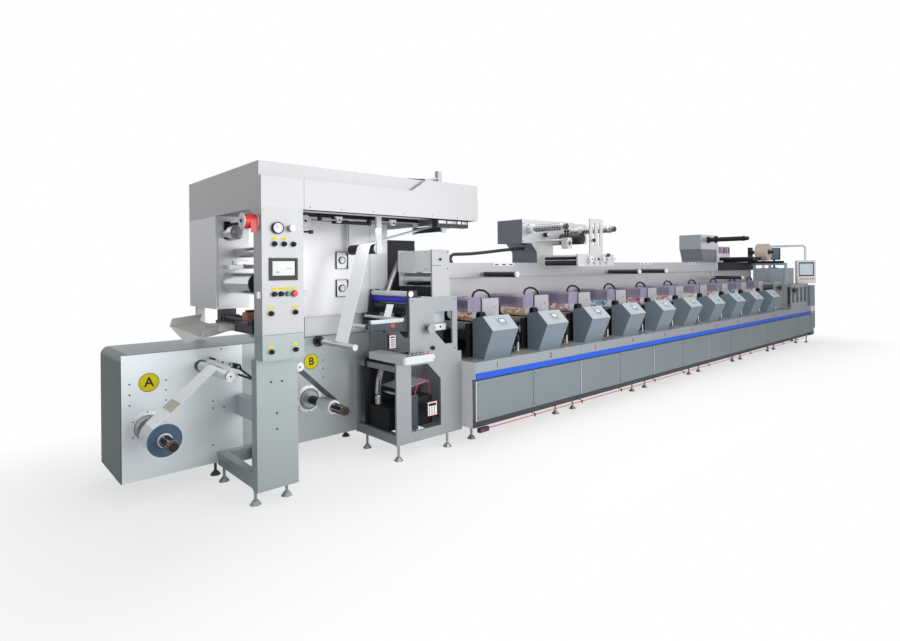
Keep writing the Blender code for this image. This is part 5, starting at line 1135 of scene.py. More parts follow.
    def canopy_fittings(self) -> None:
        """Sheet joints, screws, bearing blocks, rods and the small boxes under the canopy."""
        o, kit = self.origin, self.kit
        low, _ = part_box("canopy")
        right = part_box("tower_column")[1].x
        seams = kit.of(Trim.DARK)
        seams.seam(low.y, (right + 0.010, right + 0.012), (low.z + 0.002, 2.285), 0.0004)
        seams.seam(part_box("tower_cabinet_right")[0].y, o.span_x(1.4240, 1.4262),
                   (1.235, 2.065), 0.0004)
        seams.screws([Vector((o.x + x, low.y, low.z + 0.018))
                      for x in (0.36, 0.62, 0.90, 1.20, 1.50, 1.78, 1.98)], 0.0045, 0.002)
        under = self.under
        for x in (0.800, 1.340, 2.000):
            kit.of(Trim.WHITE).loft(
                [o.at(x - 0.035, -0.520, under), o.at(x + 0.030, -0.520, under),
                 o.at(x + 0.012, -0.520, under - 0.050), o.at(x - 0.012, -0.520, under - 0.050)],
                Vector((0, 0.030, 0)))
            kit.of(Trim.BLACK).screws([o.at(x, -0.520, under - 0.030)], 0.009, 0.004)
        kit.of(Trim.STEEL).rod(o.at(0.620, -0.505, 2.042), o.at(0.800, -0.505, 2.042), 0.007)
        kit.of(Trim.BLACK).block(o.at(0.616, -0.520, 2.030), o.at(0.640, -0.490, under), 0.002)
        kit.of(Trim.STEEL).block(o.at(1.710, -0.600, 2.030), o.at(1.880, -0.530, under), 0.004)
        for start, length, trim in ((1.612, 0.085, Trim.WHITE), (1.712, 0.110, Trim.STEEL),
                                    (1.836, 0.040, Trim.WHITE), (1.890, 0.065, Trim.STEEL)):
            kit.of(trim).block(o.at(start, -0.806, 2.036), o.at(start + length, -0.7997, 2.062),
                               0.002)
        kit.of(Trim.BLACK).screws([o.at(x, -0.800, 2.020) for x in (1.640, 1.730, 1.860, 1.940)],
                                  0.007, 0.004)
        kit.of(Trim.RUBBER).rod(o.at(0.760, -0.470, 2.028), o.at(1.130, -0.470, 2.028), 0.014)
        for x in (0.775, 1.115):
            kit.of(Trim.BLACK).block(o.at(x - 0.012, -0.486, 2.014), o.at(x + 0.012, -0.454, under),
                                     0.002)
        disc = o.at(0.634, -0.250, 2.045)
        kit.of(Trim.WHITE).lathe(disc, FORWARD, [
            (-0.012, 0.049), (-0.010, 0.051), (0.010, 0.051), (0.012, 0.049)], 40)
        kit.of(Trim.BLACK).rod(disc + FORWARD * 0.018, o.at(0.634, -0.0003, 2.045), 0.010)
        kit.of(Trim.BLACK).rod(o.at(0.650, -0.200, 1.960), o.at(0.729, -0.200, 1.960), 0.008)
        kit.of(Trim.DARK).block(o.at(0.700, -0.215, 1.945), o.at(0.7297, -0.185, 1.975), 0.003)
        kit.of(Trim.STEEL).screws([o.at(0.915, -0.590, 2.459)], 0.004, 0.002)


@dataclass
class Infeed(Section):
    """The infeed frame with desk, treater, nip rollers and rear cabinet."""

    key_size: float = 0.010
    key_rise: float = 0.018
    front: float = -0.630
    button_count: int = 6
    button_pitch: float = 0.045

    def dress(self) -> None:
        """Give every infeed node its finish."""
        o, dresser = self.origin, self.dresser
        dresser.dress(["infeed_frame"], "infeed_frame_steel", Palette.FRAME, [
            Zone(lambda s: s.inside(y=o.span_y(-0.80, -0.6305)), Palette.STEEL),
            # Painted shade: the inner faces of the frame's bay are black for the shade inside it.
            Zone(lambda s: s.inside(x=o.span_x(1.30, 2.05), y=o.span_y(-0.605, -0.060),
                                    z=(0.2203, 0.829)), Palette.BLACK)])
        dresser.dress(["control_desk"], "desk_paint", Palette.DESK)
        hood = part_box("surface_treater")
        dresser.dress(["surface_treater"], "treater_steel", Palette.HOOD, [
            Zone(lambda s: s.inside(y=(hood[0].y - 0.01, hood[0].y + 0.021)), Palette.PANEL),
            Zone(lambda s: s.inside(z=(1.30, 1.476), y=o.span_y(-0.608, -0.10)), Palette.BLACK),
            Zone(lambda s: s.inside(y=o.span_y(-0.119, 0.1)), Palette.STEEL),
            Zone(lambda s: s.inside(y=o.span_y(-0.135, -0.1185), z=(1.40, 1.6108)),
                 Palette.BLACK),
            Zone(lambda s: s.barrel((o.x + 1.785, 1.541), 0.0605)
                 * s.inside(y=o.span_y(-0.608, -0.100)), Palette.CHROME),
        ])
        low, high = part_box("nip_rollers")
        dresser.dress(["nip_rollers"], "nip_finish", Palette.DARK, [
            Zone(lambda s: s.barrel((low.x + 0.118, high.z - 0.030), 0.0265), Palette.PAPER),
            Zone(lambda s: s.barrel((low.x + 0.125, high.z - 0.085), 0.0300), Palette.ROYAL),
            Zone(lambda s: s.barrel((low.x + 0.022, high.z - 0.245), 0.0145), Palette.PAPER),
        ])
        dresser.dress(["rear_cabinet"], "rear_cabinet_dark", Palette.BLACK)
        self.buttons()
        self.keypad(o.at(1.200, self.front, 0.970), o.at(1.268, -0.600, 1.085))
        self.keypad(o.at(1.606, -0.638, 0.325), o.at(1.716, -0.6103, 0.452))
        self.bay_fittings()
        self.hood_marks()
        self.kit.close()

    def buttons(self) -> None:
        """The red and black push buttons of the desk."""
        low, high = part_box("control_desk")
        for i in range(self.button_count):
            base = Vector((high.x - 0.060 - self.button_pitch * i, low.y + 0.045,
                           high.z - 0.014))
            self.kit.of(Trim.RED if i < 2 else Trim.BLACK).lathe(base, Vector((0, 0, 1)), [
                (0.0, 0.0155), (0.006, 0.0155), (0.008, 0.013), (0.016, 0.0125),
                (0.018, 0.010)], sides=20)

    def keypad(self, low: Vector, high: Vector) -> None:
        """Add one hand keypad.

        Args:
            low: Its low corner.
            high: Its high corner.
        """
        kit = self.kit
        kit.of(Trim.DARK).block(low, high, 0.004)
        kit.of(Trim.RED).block(
            Vector((low.x + 0.001, low.y - 0.0008, low.z + 0.001)),
            Vector((high.x - 0.001, low.y + 0.0002, high.z - 0.001)), 0.0003)
        kit.of(Trim.WHITE).block(
            Vector((low.x + 0.004, low.y - 0.0012, low.z + 0.005)),
            Vector((high.x - 0.004, low.y + 0.0002, high.z - 0.005)), 0.0004)
        pitch = (high.x - low.x - 0.024) / 3
        keys = kit.of(Trim.BLACK)
        for row in range(4):
            for column in range(3):
                corner = Vector((low.x + 0.015 + pitch * column, low.y - 0.0034,
                                 low.z + 0.014 + self.key_rise * row))
                keys.block(corner, corner + Vector((self.key_size, 0.003, self.key_size)), 0.0008)
        keys.block(Vector((low.x + 0.012, low.y - 0.0024, low.z + 0.088)),
                   Vector((high.x - 0.012, low.y - 0.0006, high.z - 0.014)), 0.0003)

    def bay_fittings(self) -> None:
        """Tension arm, bracket, duct, hose and knobs in and round the frame."""
        o, kit = self.origin, self.kit
        navy = kit.of(Trim.NAVY)
        navy.block(o.at(1.150, -0.650, 1.110), o.at(1.334, -0.600, 1.190), 0.006)
        kit.of(Trim.SLATE).block(o.at(1.000, -0.655, 1.190), o.at(1.334, -0.625, 1.222), 0.003)
        navy.loft([o.at(0.985, -0.655, 1.150), o.at(1.160, -0.655, 1.130),
                   o.at(1.160, -0.655, 1.190), o.at(0.985, -0.655, 1.190)], Vector((0, 0.020, 0)))
        navy.lathe(o.at(0.985, -0.630, 1.170), FORWARD, [
            (0.0, 0.026), (0.040, 0.026), (0.044, 0.022)], 28)
        kit.of(Trim.CHROME).rod(o.at(0.985, -0.640, 1.170), o.at(0.985, -0.240, 1.170), 0.018)
        kit.of(Trim.RED).block(o.at(1.205, -0.6525, 1.150), o.at(1.245, -0.6498, 1.178), 0.001)
        kit.of(Trim.WHITE).screws([o.at(1.180, -0.655, 1.206), o.at(1.300, -0.655, 1.206)],
                                  0.007, 0.004)
        black = kit.of(Trim.BLACK)
        black.block(o.at(1.272, -0.150, 0.2203), o.at(1.795, -0.140, 0.829), 0.001)
        black.block(o.at(1.300, -0.480, 0.2203), o.at(1.600, -0.150, 0.410), 0.006)
        black.block(o.at(1.560, -0.520, 0.2203), o.at(1.760, -0.330, 0.480), 0.006)
        kit.of(Trim.SLATE).loft([o.at(1.440, -0.480, 0.560), o.at(1.760, -0.480, 0.600),
                                 o.at(1.760, -0.480, 0.604), o.at(1.440, -0.480, 0.564)],
                                Vector((0, 0.320, 0)))
        kit.of(Trim.CHROME).rod(o.at(1.420, -0.470, 0.520), o.at(1.420, -0.150, 0.520), 0.016)
        kit.of(Trim.RED).ribbed([o.at(1.560, -0.500, 0.480), o.at(1.600, -0.505, 0.590),
                                 o.at(1.680, -0.505, 0.630), o.at(1.740, -0.500, 0.560),
                                 o.at(1.745, -0.490, 0.479)], 0.0045, 0.010, 0.0)
        kit.of(Trim.WEB).loft([o.at(1.3450, -0.500, 1.330), o.at(1.3450, -0.400, 1.330),
                               o.at(1.3100, -0.400, 1.2225), o.at(1.3100, -0.500, 1.2225)],
                              Vector((-0.0012, 0, 0)))
        navy.block(o.at(1.4303, -0.628, 0.230), o.at(1.505, -0.612, 0.540), 0.003)
        black.screws([o.at(1.468, -0.628, z) for z in (0.262, 0.508)], 0.007, 0.004)
        kit.of(Trim.CHROME).ribbed(
            [o.at(1.440, -0.220, 0.829), o.at(1.405, -0.220, 0.740), o.at(1.372, -0.220, 0.620),
             o.at(1.362, -0.220, 0.500), o.at(1.368, -0.220, 0.4105)], 0.034, 0.012, 0.0035)
        kit.of(Trim.PLATE).block(o.at(1.790, -0.165, 0.560), o.at(1.940, -0.145, 0.690), 0.003)
        black.lathe(o.at(1.620, self.front, 1.110), FORWARD, [
            (PROUD, 0.016), (0.010, 0.016), (0.012, 0.024), (0.026, 0.024), (0.030, 0.018)], 28)
        black.lathe(o.at(1.672, self.front, 0.930), FORWARD, [
            (PROUD, 0.013), (0.008, 0.013), (0.010, 0.018), (0.022, 0.018), (0.026, 0.014)], 28)
        kit.of(Trim.SLATE).block(o.at(1.697, -0.520, 1.135), o.at(1.919, -0.470, 1.245), 0.005)
        kit.of(Trim.WHITE).block(o.at(1.697, -0.540, 1.068), o.at(1.919, -0.500, 1.130), 0.003)
        black.screws([o.at(x, -0.540, 1.100) for x in (1.770, 1.850)], 0.010, 0.006)
        kit.of(Trim.DARK).block(o.at(1.697, -0.500, 0.952), o.at(1.919, -0.460, 1.060), 0.005)
        black.screws([o.at(x, self.front, z) for x in (1.450, 1.950) for z in (0.905, 1.360)],
                     0.006, 0.003)

    def hood_marks(self) -> None:
        """The slot, the knob and the screws on the front of the hood."""
        kit = self.kit
        low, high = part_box("surface_treater")
        x = (low.x + high.x) / 2
        dark = kit.of(Trim.DARK)
        dark.screws([Vector((at, low.y, z)) for at in (low.x + 0.022, high.x - 0.022)
                     for z in (1.640, 1.790)], 0.006, 0.003)
        dark.seam(low.y, (x - 0.060, x + 0.050), (1.668, 1.672))
        kit.of(Trim.BLACK).lathe(Vector((x + 0.040, low.y, 1.725)), FORWARD, [
            (PROUD, 0.012), (0.010, 0.012), (0.012, 0.009)], 24)


@dataclass
class PrintLine(Section):
    """Base modules, consoles, print units and the machine wall."""

    unit_count: int = 10
    pitch: float = 0.818
    first: float = 2.030
    deck: float = 0.8002
    side: float = -0.530
    panel_z: Span = (0.232, 0.603)
    cord: Span = (-0.8130, 0.1460)
    cord_span: Span = (2.205, 11.700)
    cord_r: float = 0.0045
    kick_z: float = 0.1605
    rail_depth: float = 0.130
    number_size: float = 0.068
    print_axis: Span = (0.370, 1.165)
    print_r: float = 0.0550
    print_length: float = 0.425
    chrome_axis: Span = (0.520, 1.090)
    chrome_r: float = 0.0802
    steel_axis: Span = (0.255, 1.060)
    steel_r: float = 0.0452
    slope_z: Span = (1.052, 1.180)
    slope_depth: float = 0.130
    slope_normal: Span = (0.7016, 0.7126)
    console_front: float = -0.850
    hook_start: float = 2.875
    hook_count: int = 11
    plate_start: float = 3.10
    plate_pitch: float = 1.636

    def dress(self) -> None:
        """Give the print line its finishes and its marks."""
        o, dresser = self.origin, self.dresser
        bases = [f"base_module_{i + 1}" for i in range(6)]
        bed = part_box(bases[0])[1].z
        dresser.dress([*bases, "end_cabinet"], "base_paint", Palette.BASE, [
            Zone(lambda s: s.inside(z=(0.610, bed - 0.002)), Palette.BAND),
            Zone(lambda s: s.inside(z=(bed - 0.002, bed + 0.01)), Palette.BED),
            # Painted shade: the kick strip is dark for the shadow line under the panels.
            Zone(lambda s: s.inside(z=(0.160, 0.2296), y=o.span_y(-0.9, 0.5)), Palette.DARK),
            Zone(lambda s: s.inside(z=(-0.1, 0.150)), Palette.STEEL),
            Zone(lambda s: s.inside(z=(bed + 0.01, 1.3)), Palette.CONSOLE),
            Zone(lambda s: s.inside(x=o.span_x(2.00, 2.0305), z=(0.16, bed)), Palette.PALE),
        ])
        dresser.dress(["blue_stripe"], "stripe_blue", Palette.BLUE)
        dresser.dress(["machine_wall"], "wall_steel", Palette.WALL)
        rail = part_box("top_rail")
        front = rail[1].y - self.rail_depth
        dresser.dress(["top_rail"], "rail_steel", Palette.WALL, [
            Zone(lambda s: s.inside(y=(rail[0].y + 0.020, front - 0.001)), Palette.RUBBER),
            Zone(lambda s: s.inside(y=(front - 0.050, front - 0.001), z=(1.30, 1.66)),
                 Palette.STEEL),
            Zone(lambda s: s.inside(y=(rail[0].y - 0.001, rail[0].y + 0.020)),
                 Palette.WHITE),
        ])
        for i in range(self.unit_count):
            dresser.dress([f"console_{i + 1}"], "console_paint", Palette.CONSOLE, [
                Zone(self.slanted, Palette.CONSOLE_FACE)])
            self.console_screen(i)
            self.unit_number(i)
            self.deck_fittings(i)
        for i in range(self.unit_count // 2):
            self.print_unit(i)
        self.module_fittings(bases)
        self.wall_fittings()
        self.pull_cord()
        self.kit.close()

    def slanted(self, shade: Shade) -> Sock:
        """Mask of the slanted faces of the consoles.

        Args:
            shade: The material that asks.

        Returns:
            The mask, one on the slanted faces and zero elsewhere.
        """
        _, y, z = shade.axes()
        back, up = self.slope_normal
        front = self.origin.y + self.console_front
        return ((z - self.slope_z[0]) * up - (y - front) * back) > -0.0008

    def print_unit(self, index: int) -> None:
        """Finishes and sleeves of one pair of print units.

        Args:
            index: The number of the pair, from zero.
        """
        dresser = self.dresser
        node = f"print_units_{index + 1}"
        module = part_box(f"base_module_{index + 1}")
        starts = [module[0].x, module[0].x + self.pitch]
        zones = []
        side_y = self.origin.y + self.side
        for x in starts:
            zones.append(Zone(lambda s, x=x: s.inside(
                x=(x + 0.384, x + 0.626), z=(0.80, 1.336), y=(side_y - 0.01, side_y + 0.0125)),
                Palette.GREY_PLATE))
            for (at, z), radius, finish in (
                    (self.chrome_axis, self.chrome_r, Palette.CHROME),
                    (self.steel_axis, self.steel_r, Palette.STEEL)):
                zones.append(Zone(
                    lambda s, x=x + at, z=z, radius=radius: s.barrel((x, z), radius)
                    * s.inside(y=(side_y + 0.025, side_y + 0.45)), finish))
            zones.append(Zone(lambda s, x=x: s.inside(
                x=(x + 0.460, x + 0.750), z=(1.336, 1.50)), Palette.RUBBER))
            zones.append(Zone(lambda s, x=x: s.inside(
                x=(x + 0.185, x + 0.3655), z=(1.2035, 1.3515)), Palette.VIOLET, 0.58))
        dresser.dress([node], f"print_units_{index + 1}_finish", Palette.BLACK, zones)
        for k, x in enumerate(starts):
            number = index * 2 + k + 1
            base = Vector((x + self.print_axis[0], side_y + 0.022, self.print_axis[1]))
            inner, outer, end = self.print_r + 0.0003, self.print_r + 0.0016, self.print_length
            sleeve = Mesher(f"print_sleeve_{number}").lathe(base, BACK, [
                (0.0, inner), (0.0, outer), (end, outer), (end, inner)], 56, hollow=True)
            dresser.paint(sleeve.done(slot="web"), f"sleeve_print_{number % 5}",
                          Palette.SLEEVE, self.artwork(side_y, number))

    def artwork(self, y: float, number: int) -> list[Zone]:
        """Plain colour fields of a print, different for each unit.

        Args:
            y: The front of the unit's side plate.
            number: The unit's number.

        Returns:
            The zones of the print.
        """
        colours = [(0.52, 0.10, 0.16), (0.60, 0.20, 0.04), (0.66, 0.33, 0.04),
                   (0.60, 0.12, 0.10), (0.05, 0.28, 0.48)]
        colour = colours[number % len(colours)]
        ink = Finish(colour, 0.45, 0.0, Grain.CAST, 0.08, 0.02)
        soft = Finish(tuple(0.35 + c * 0.5 for c in colour), 0.5, 0.0, Grain.CAST, 0.04, 0.02)

        def patches(shade: Shade, threshold: float, scale: float) -> Sock:
            """Islands of ink on the sleeve."""
            spots = shade.noise((scale, scale * 0.6, scale), detail=0.0)
            return (spots > threshold) * shade.inside(y=(y + 0.08, y + 0.40))

        return [Zone(lambda s: patches(s, 0.52, 20.0), soft),
                Zone(lambda s: patches(s, 0.60, 30.0), ink)]

    def console_screen(self, index: int) -> None:
        """The small display and keys on the slanted face of one console.

        Args:
            index: The number of the unit, from zero.
        """
        kit = self.kit
        low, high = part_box(f"console_{index + 1}")
        width = high.x - low.x
        nose = Vector((low.x, low.y, self.slope_z[0]))
        brow = Vector((low.x, low.y + self.slope_depth, self.slope_z[1]))
        slope = brow - nose
        out = Vector((0.0, -slope.z, slope.y)).normalized()
        along = slope.normalized()

        def patch(trim: Trim, u: Span, t: Span, rise: float, thick: float) -> None:
            """Add a flat patch on the slanted face.

            Args:
                trim: The finish.
                u: The span across, as parts of the width.
                t: The span up the slope, as parts of its length.
                rise: How far its front stands out.
                thick: How thick it is.
            """
            corners = [nose + Vector((width * a, 0, 0)) + along * (slope.length * b)
                       + out * (rise - thick)
                       for a, b in ((u[0], t[0]), (u[1], t[0]), (u[1], t[1]), (u[0], t[1]))]
            kit.of(trim).loft(corners, out * thick)

        patch(Trim.FACIA, (0.40, 0.74), (0.26, 0.84), 0.0040, 0.0038)
        patch(Trim.DARK, (0.45, 0.69), (0.42, 0.74), 0.0048, 0.0007)
        patch(Trim.DISPLAY, (0.475, 0.665), (0.46, 0.70), 0.0056, 0.0007)
        for k in range(4):
            patch(Trim.DARK, (0.46 + 0.060 * k, 0.49 + 0.060 * k), (0.31, 0.36), 0.0048, 0.0007)
        kit.of(Trim.DARK).block(Vector((low.x + 0.006, low.y + 0.1160, 0.930)),
                                Vector((high.x - 0.006, low.y + 0.1195, 0.934)), 0.0)

    def unit_number(self, index: int) -> None:
        """The red number of one print unit on the band over the stripe.

        Args:
            index: The number of the unit, from zero.
        """
        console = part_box(f"console_{index + 1}")
        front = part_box("base_module_1")[0].y
        middle = Vector((console[0].x + 0.089, front - 0.0006, 0.7215))
        text = lettering(f"unit_number_{index + 1}", str(index + 1), middle, self.number_size)
        self.dresser.paint(text, "number_red", Palette.NUMBER)

    def deck_fittings(self, index: int) -> None:
        """Posts, rails and knobs on the deck at the front of one unit.

        Args:
            index: The number of the unit, from zero.
        """
        o, kit = self.origin, self.kit
        x = self.first + self.pitch * index
        deck = self.deck
        for trim, at, low, high, radius in (
                (Trim.CHROME, 0.700, deck, 0.950, 0.012), (Trim.BLACK, 0.700, 0.890, 0.962, 0.017),
                (Trim.BLACK, 0.632, deck, 0.905, 0.009)):
            kit.of(trim).rod(o.at(x + at, -0.720, low), o.at(x + at, -0.720, high), radius)
        black = kit.of(Trim.BLACK)
        black.block(o.at(x + 0.668, -0.640, deck), o.at(x + 0.790, -0.560, 0.838), 0.004)
        black.lathe(o.at(x + 0.732, -0.330, 0.862), FORWARD, [
            (0.0, 0.040), (0.004, 0.044), (0.180, 0.044), (0.184, 0.036), (0.206, 0.034),
            (0.210, 0.026)], 32)
        black.block(o.at(x + 0.700, -0.500, deck), o.at(x + 0.764, -0.350, 0.830), 0.003)
        kit.of(Trim.BRASS).screws([o.at(x + at, -0.640, 0.820) for at in (0.690, 0.728, 0.768)],
                                  0.009, 0.012)
        kit.of(Trim.BRASS).lathe(o.at(x + 0.732, -0.5400, 0.862), FORWARD, [
            (0.0, 0.014), (0.010, 0.014), (0.012, 0.010)], 24)
        for at, z in ((0.590, 0.900), (0.640, 1.020), (0.640, 0.880)):
            kit.of(Trim.STEEL).lathe(o.at(x + at, self.side, z), FORWARD, [
                (PROUD, 0.014), (0.022, 0.014), (0.024, 0.010), (0.040, 0.010),
                (0.042, 0.008)], 24)
        kit.of(Trim.BRASS).rod(o.at(x + 0.640, -0.5640, 0.880), o.at(x + 0.640, -0.5640, 1.020),
                               0.0045)
        kit.of(Trim.STEEL).screws([o.at(x + at, self.side, z) for z in (0.840, 1.070, 1.315)
                                   for at in (0.402, 0.608)], 0.0075, 0.003)
        black.lathe(o.at(x + 0.520, self.side, 1.090), FORWARD, [
            (PROUD, 0.028), (0.008, 0.028), (0.010, 0.020), (0.024, 0.018), (0.028, 0.014)], 32)
        kit.of(Trim.STEEL).lathe(o.at(x + 0.560, self.side, 1.250), FORWARD, [
            (PROUD, 0.014), (0.006, 0.014), (0.008, 0.011)], 24)

    def module_fittings(self, bases: Sequence[str]) -> None:
        """Seams and screws of the base panels, and the white box on the end.

        Args:
            bases: The names of the base modules.
        """
        kit = self.kit
        for node in bases:
            low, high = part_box(node)
            dark = kit.of(Trim.DARK)
            kit.of(Trim.WHITE).seam(low.y, (low.x + PROUD, low.x + 0.0072), self.panel_z, 0.0008)
            half = (low.x + high.x) / 2
            edges = (low.x + 0.030, half - 0.030, half + 0.030, high.x - 0.030)
            for y, facing in ((low.y, FORWARD), (high.y, BACK)):
                dark.seam(y, (half - 0.0015, half + 0.0015), self.panel_z, facing=facing)
                dark.screws([Vector((x, y, z)) for x in edges for z in (0.262, 0.572)],
                            0.0060, 0.0022, facing)
        low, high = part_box("end_cabinet")
        kit.of(Trim.DARK).screws([Vector((x, low.y, z)) for x in (low.x + 0.025, high.x - 0.025)
                                  for z in (0.330, 0.580)], 0.006, 0.0022)
        kit.of(Trim.WHITE).block(Vector((low.x + 0.010, low.y - 0.0050, 0.662)),
                                 Vector((high.x - 0.010, low.y - 0.0002, 0.760)), 0.002)

    def wall_fittings(self) -> None:
        """Seams, screws, slotted plates and roller caps of the machine wall and its rail."""
        o, kit = self.origin, self.kit
        low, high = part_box("machine_wall")
        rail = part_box("top_rail")
        front = rail[1].y - self.rail_depth - o.y
        x = low.x + 0.820
        dark = kit.of(Trim.DARK)
        while x < high.x - 0.100:
            dark.seam(low.y, (x, x + 0.0030), (0.790, 1.290))
            dark.screws([Vector((x + side, low.y, z)) for side in (-0.030, 0.033)
                         for z in (0.850, 1.060, 1.260)], 0.0055, 0.0022)
            x += self.pitch
        for i in range(4):
            at = self.plate_start + self.plate_pitch * i
            kit.of(Trim.WHITE).block(o.at(at, front - 0.0060, 1.660),
                                     o.at(at + 0.360, front - PROUD, 1.697), 0.001)
            for slot in (at + 0.030, at + 0.150, at + 0.270):
                kit.of(Trim.BLACK).block(o.at(slot, front - 0.0068, 1.672),
                                         o.at(slot + 0.060, front - 0.0059, 1.684), 0.0)
        for at in (2.920, 5.430, 6.180):
            tip = o.at(at, rail[0].y - o.y, 1.570)
            kit.of(Trim.WHITE).lathe(tip, FORWARD, [
                (PROUD, 0.026), (0.0030, 0.026), (0.0045, 0.022)], 32)
            kit.of(Trim.DARK).lathe(tip, FORWARD, [(0.0040, 0.006), (0.0070, 0.005)], 16)

    def pull_cord(self) -> None:
        """The red emergency pull cord with its eyes and its switch."""
        o, kit = self.origin, self.kit
        y, z = self.cord
        under = self.kick_z
        start, end = self.cord_span
        hooks = [self.hook_start + self.pitch * i for i in range(self.hook_count)]
        black = kit.of(Trim.BLACK)
        for x in hooks:
            black.block(o.at(x - 0.006, -0.8190, 0.1270), o.at(x + 0.006, -0.8070, under), 0.002)
            black.block(o.at(x - 0.006, -0.8190, under - 0.004), o.at(x + 0.006, -0.7698, under),
                        0.001)
        kit.of(Trim.DARK).block(o.at(2.080, -0.8190, 0.118),
                                o.at(start, -0.7800, under - PROUD), 0.005)
        kit.of(Trim.RED).screws([o.at(2.115, -0.819, 0.140)], 0.010, 0.006)
        rod = Mesher("pull_cord").rod(o.at(start, y, z), o.at(end, y, z), self.cord_r, 12)
        self.dresser.paint(rod.done(slot="blue_stripe"), "cord_red", Palette.RED)


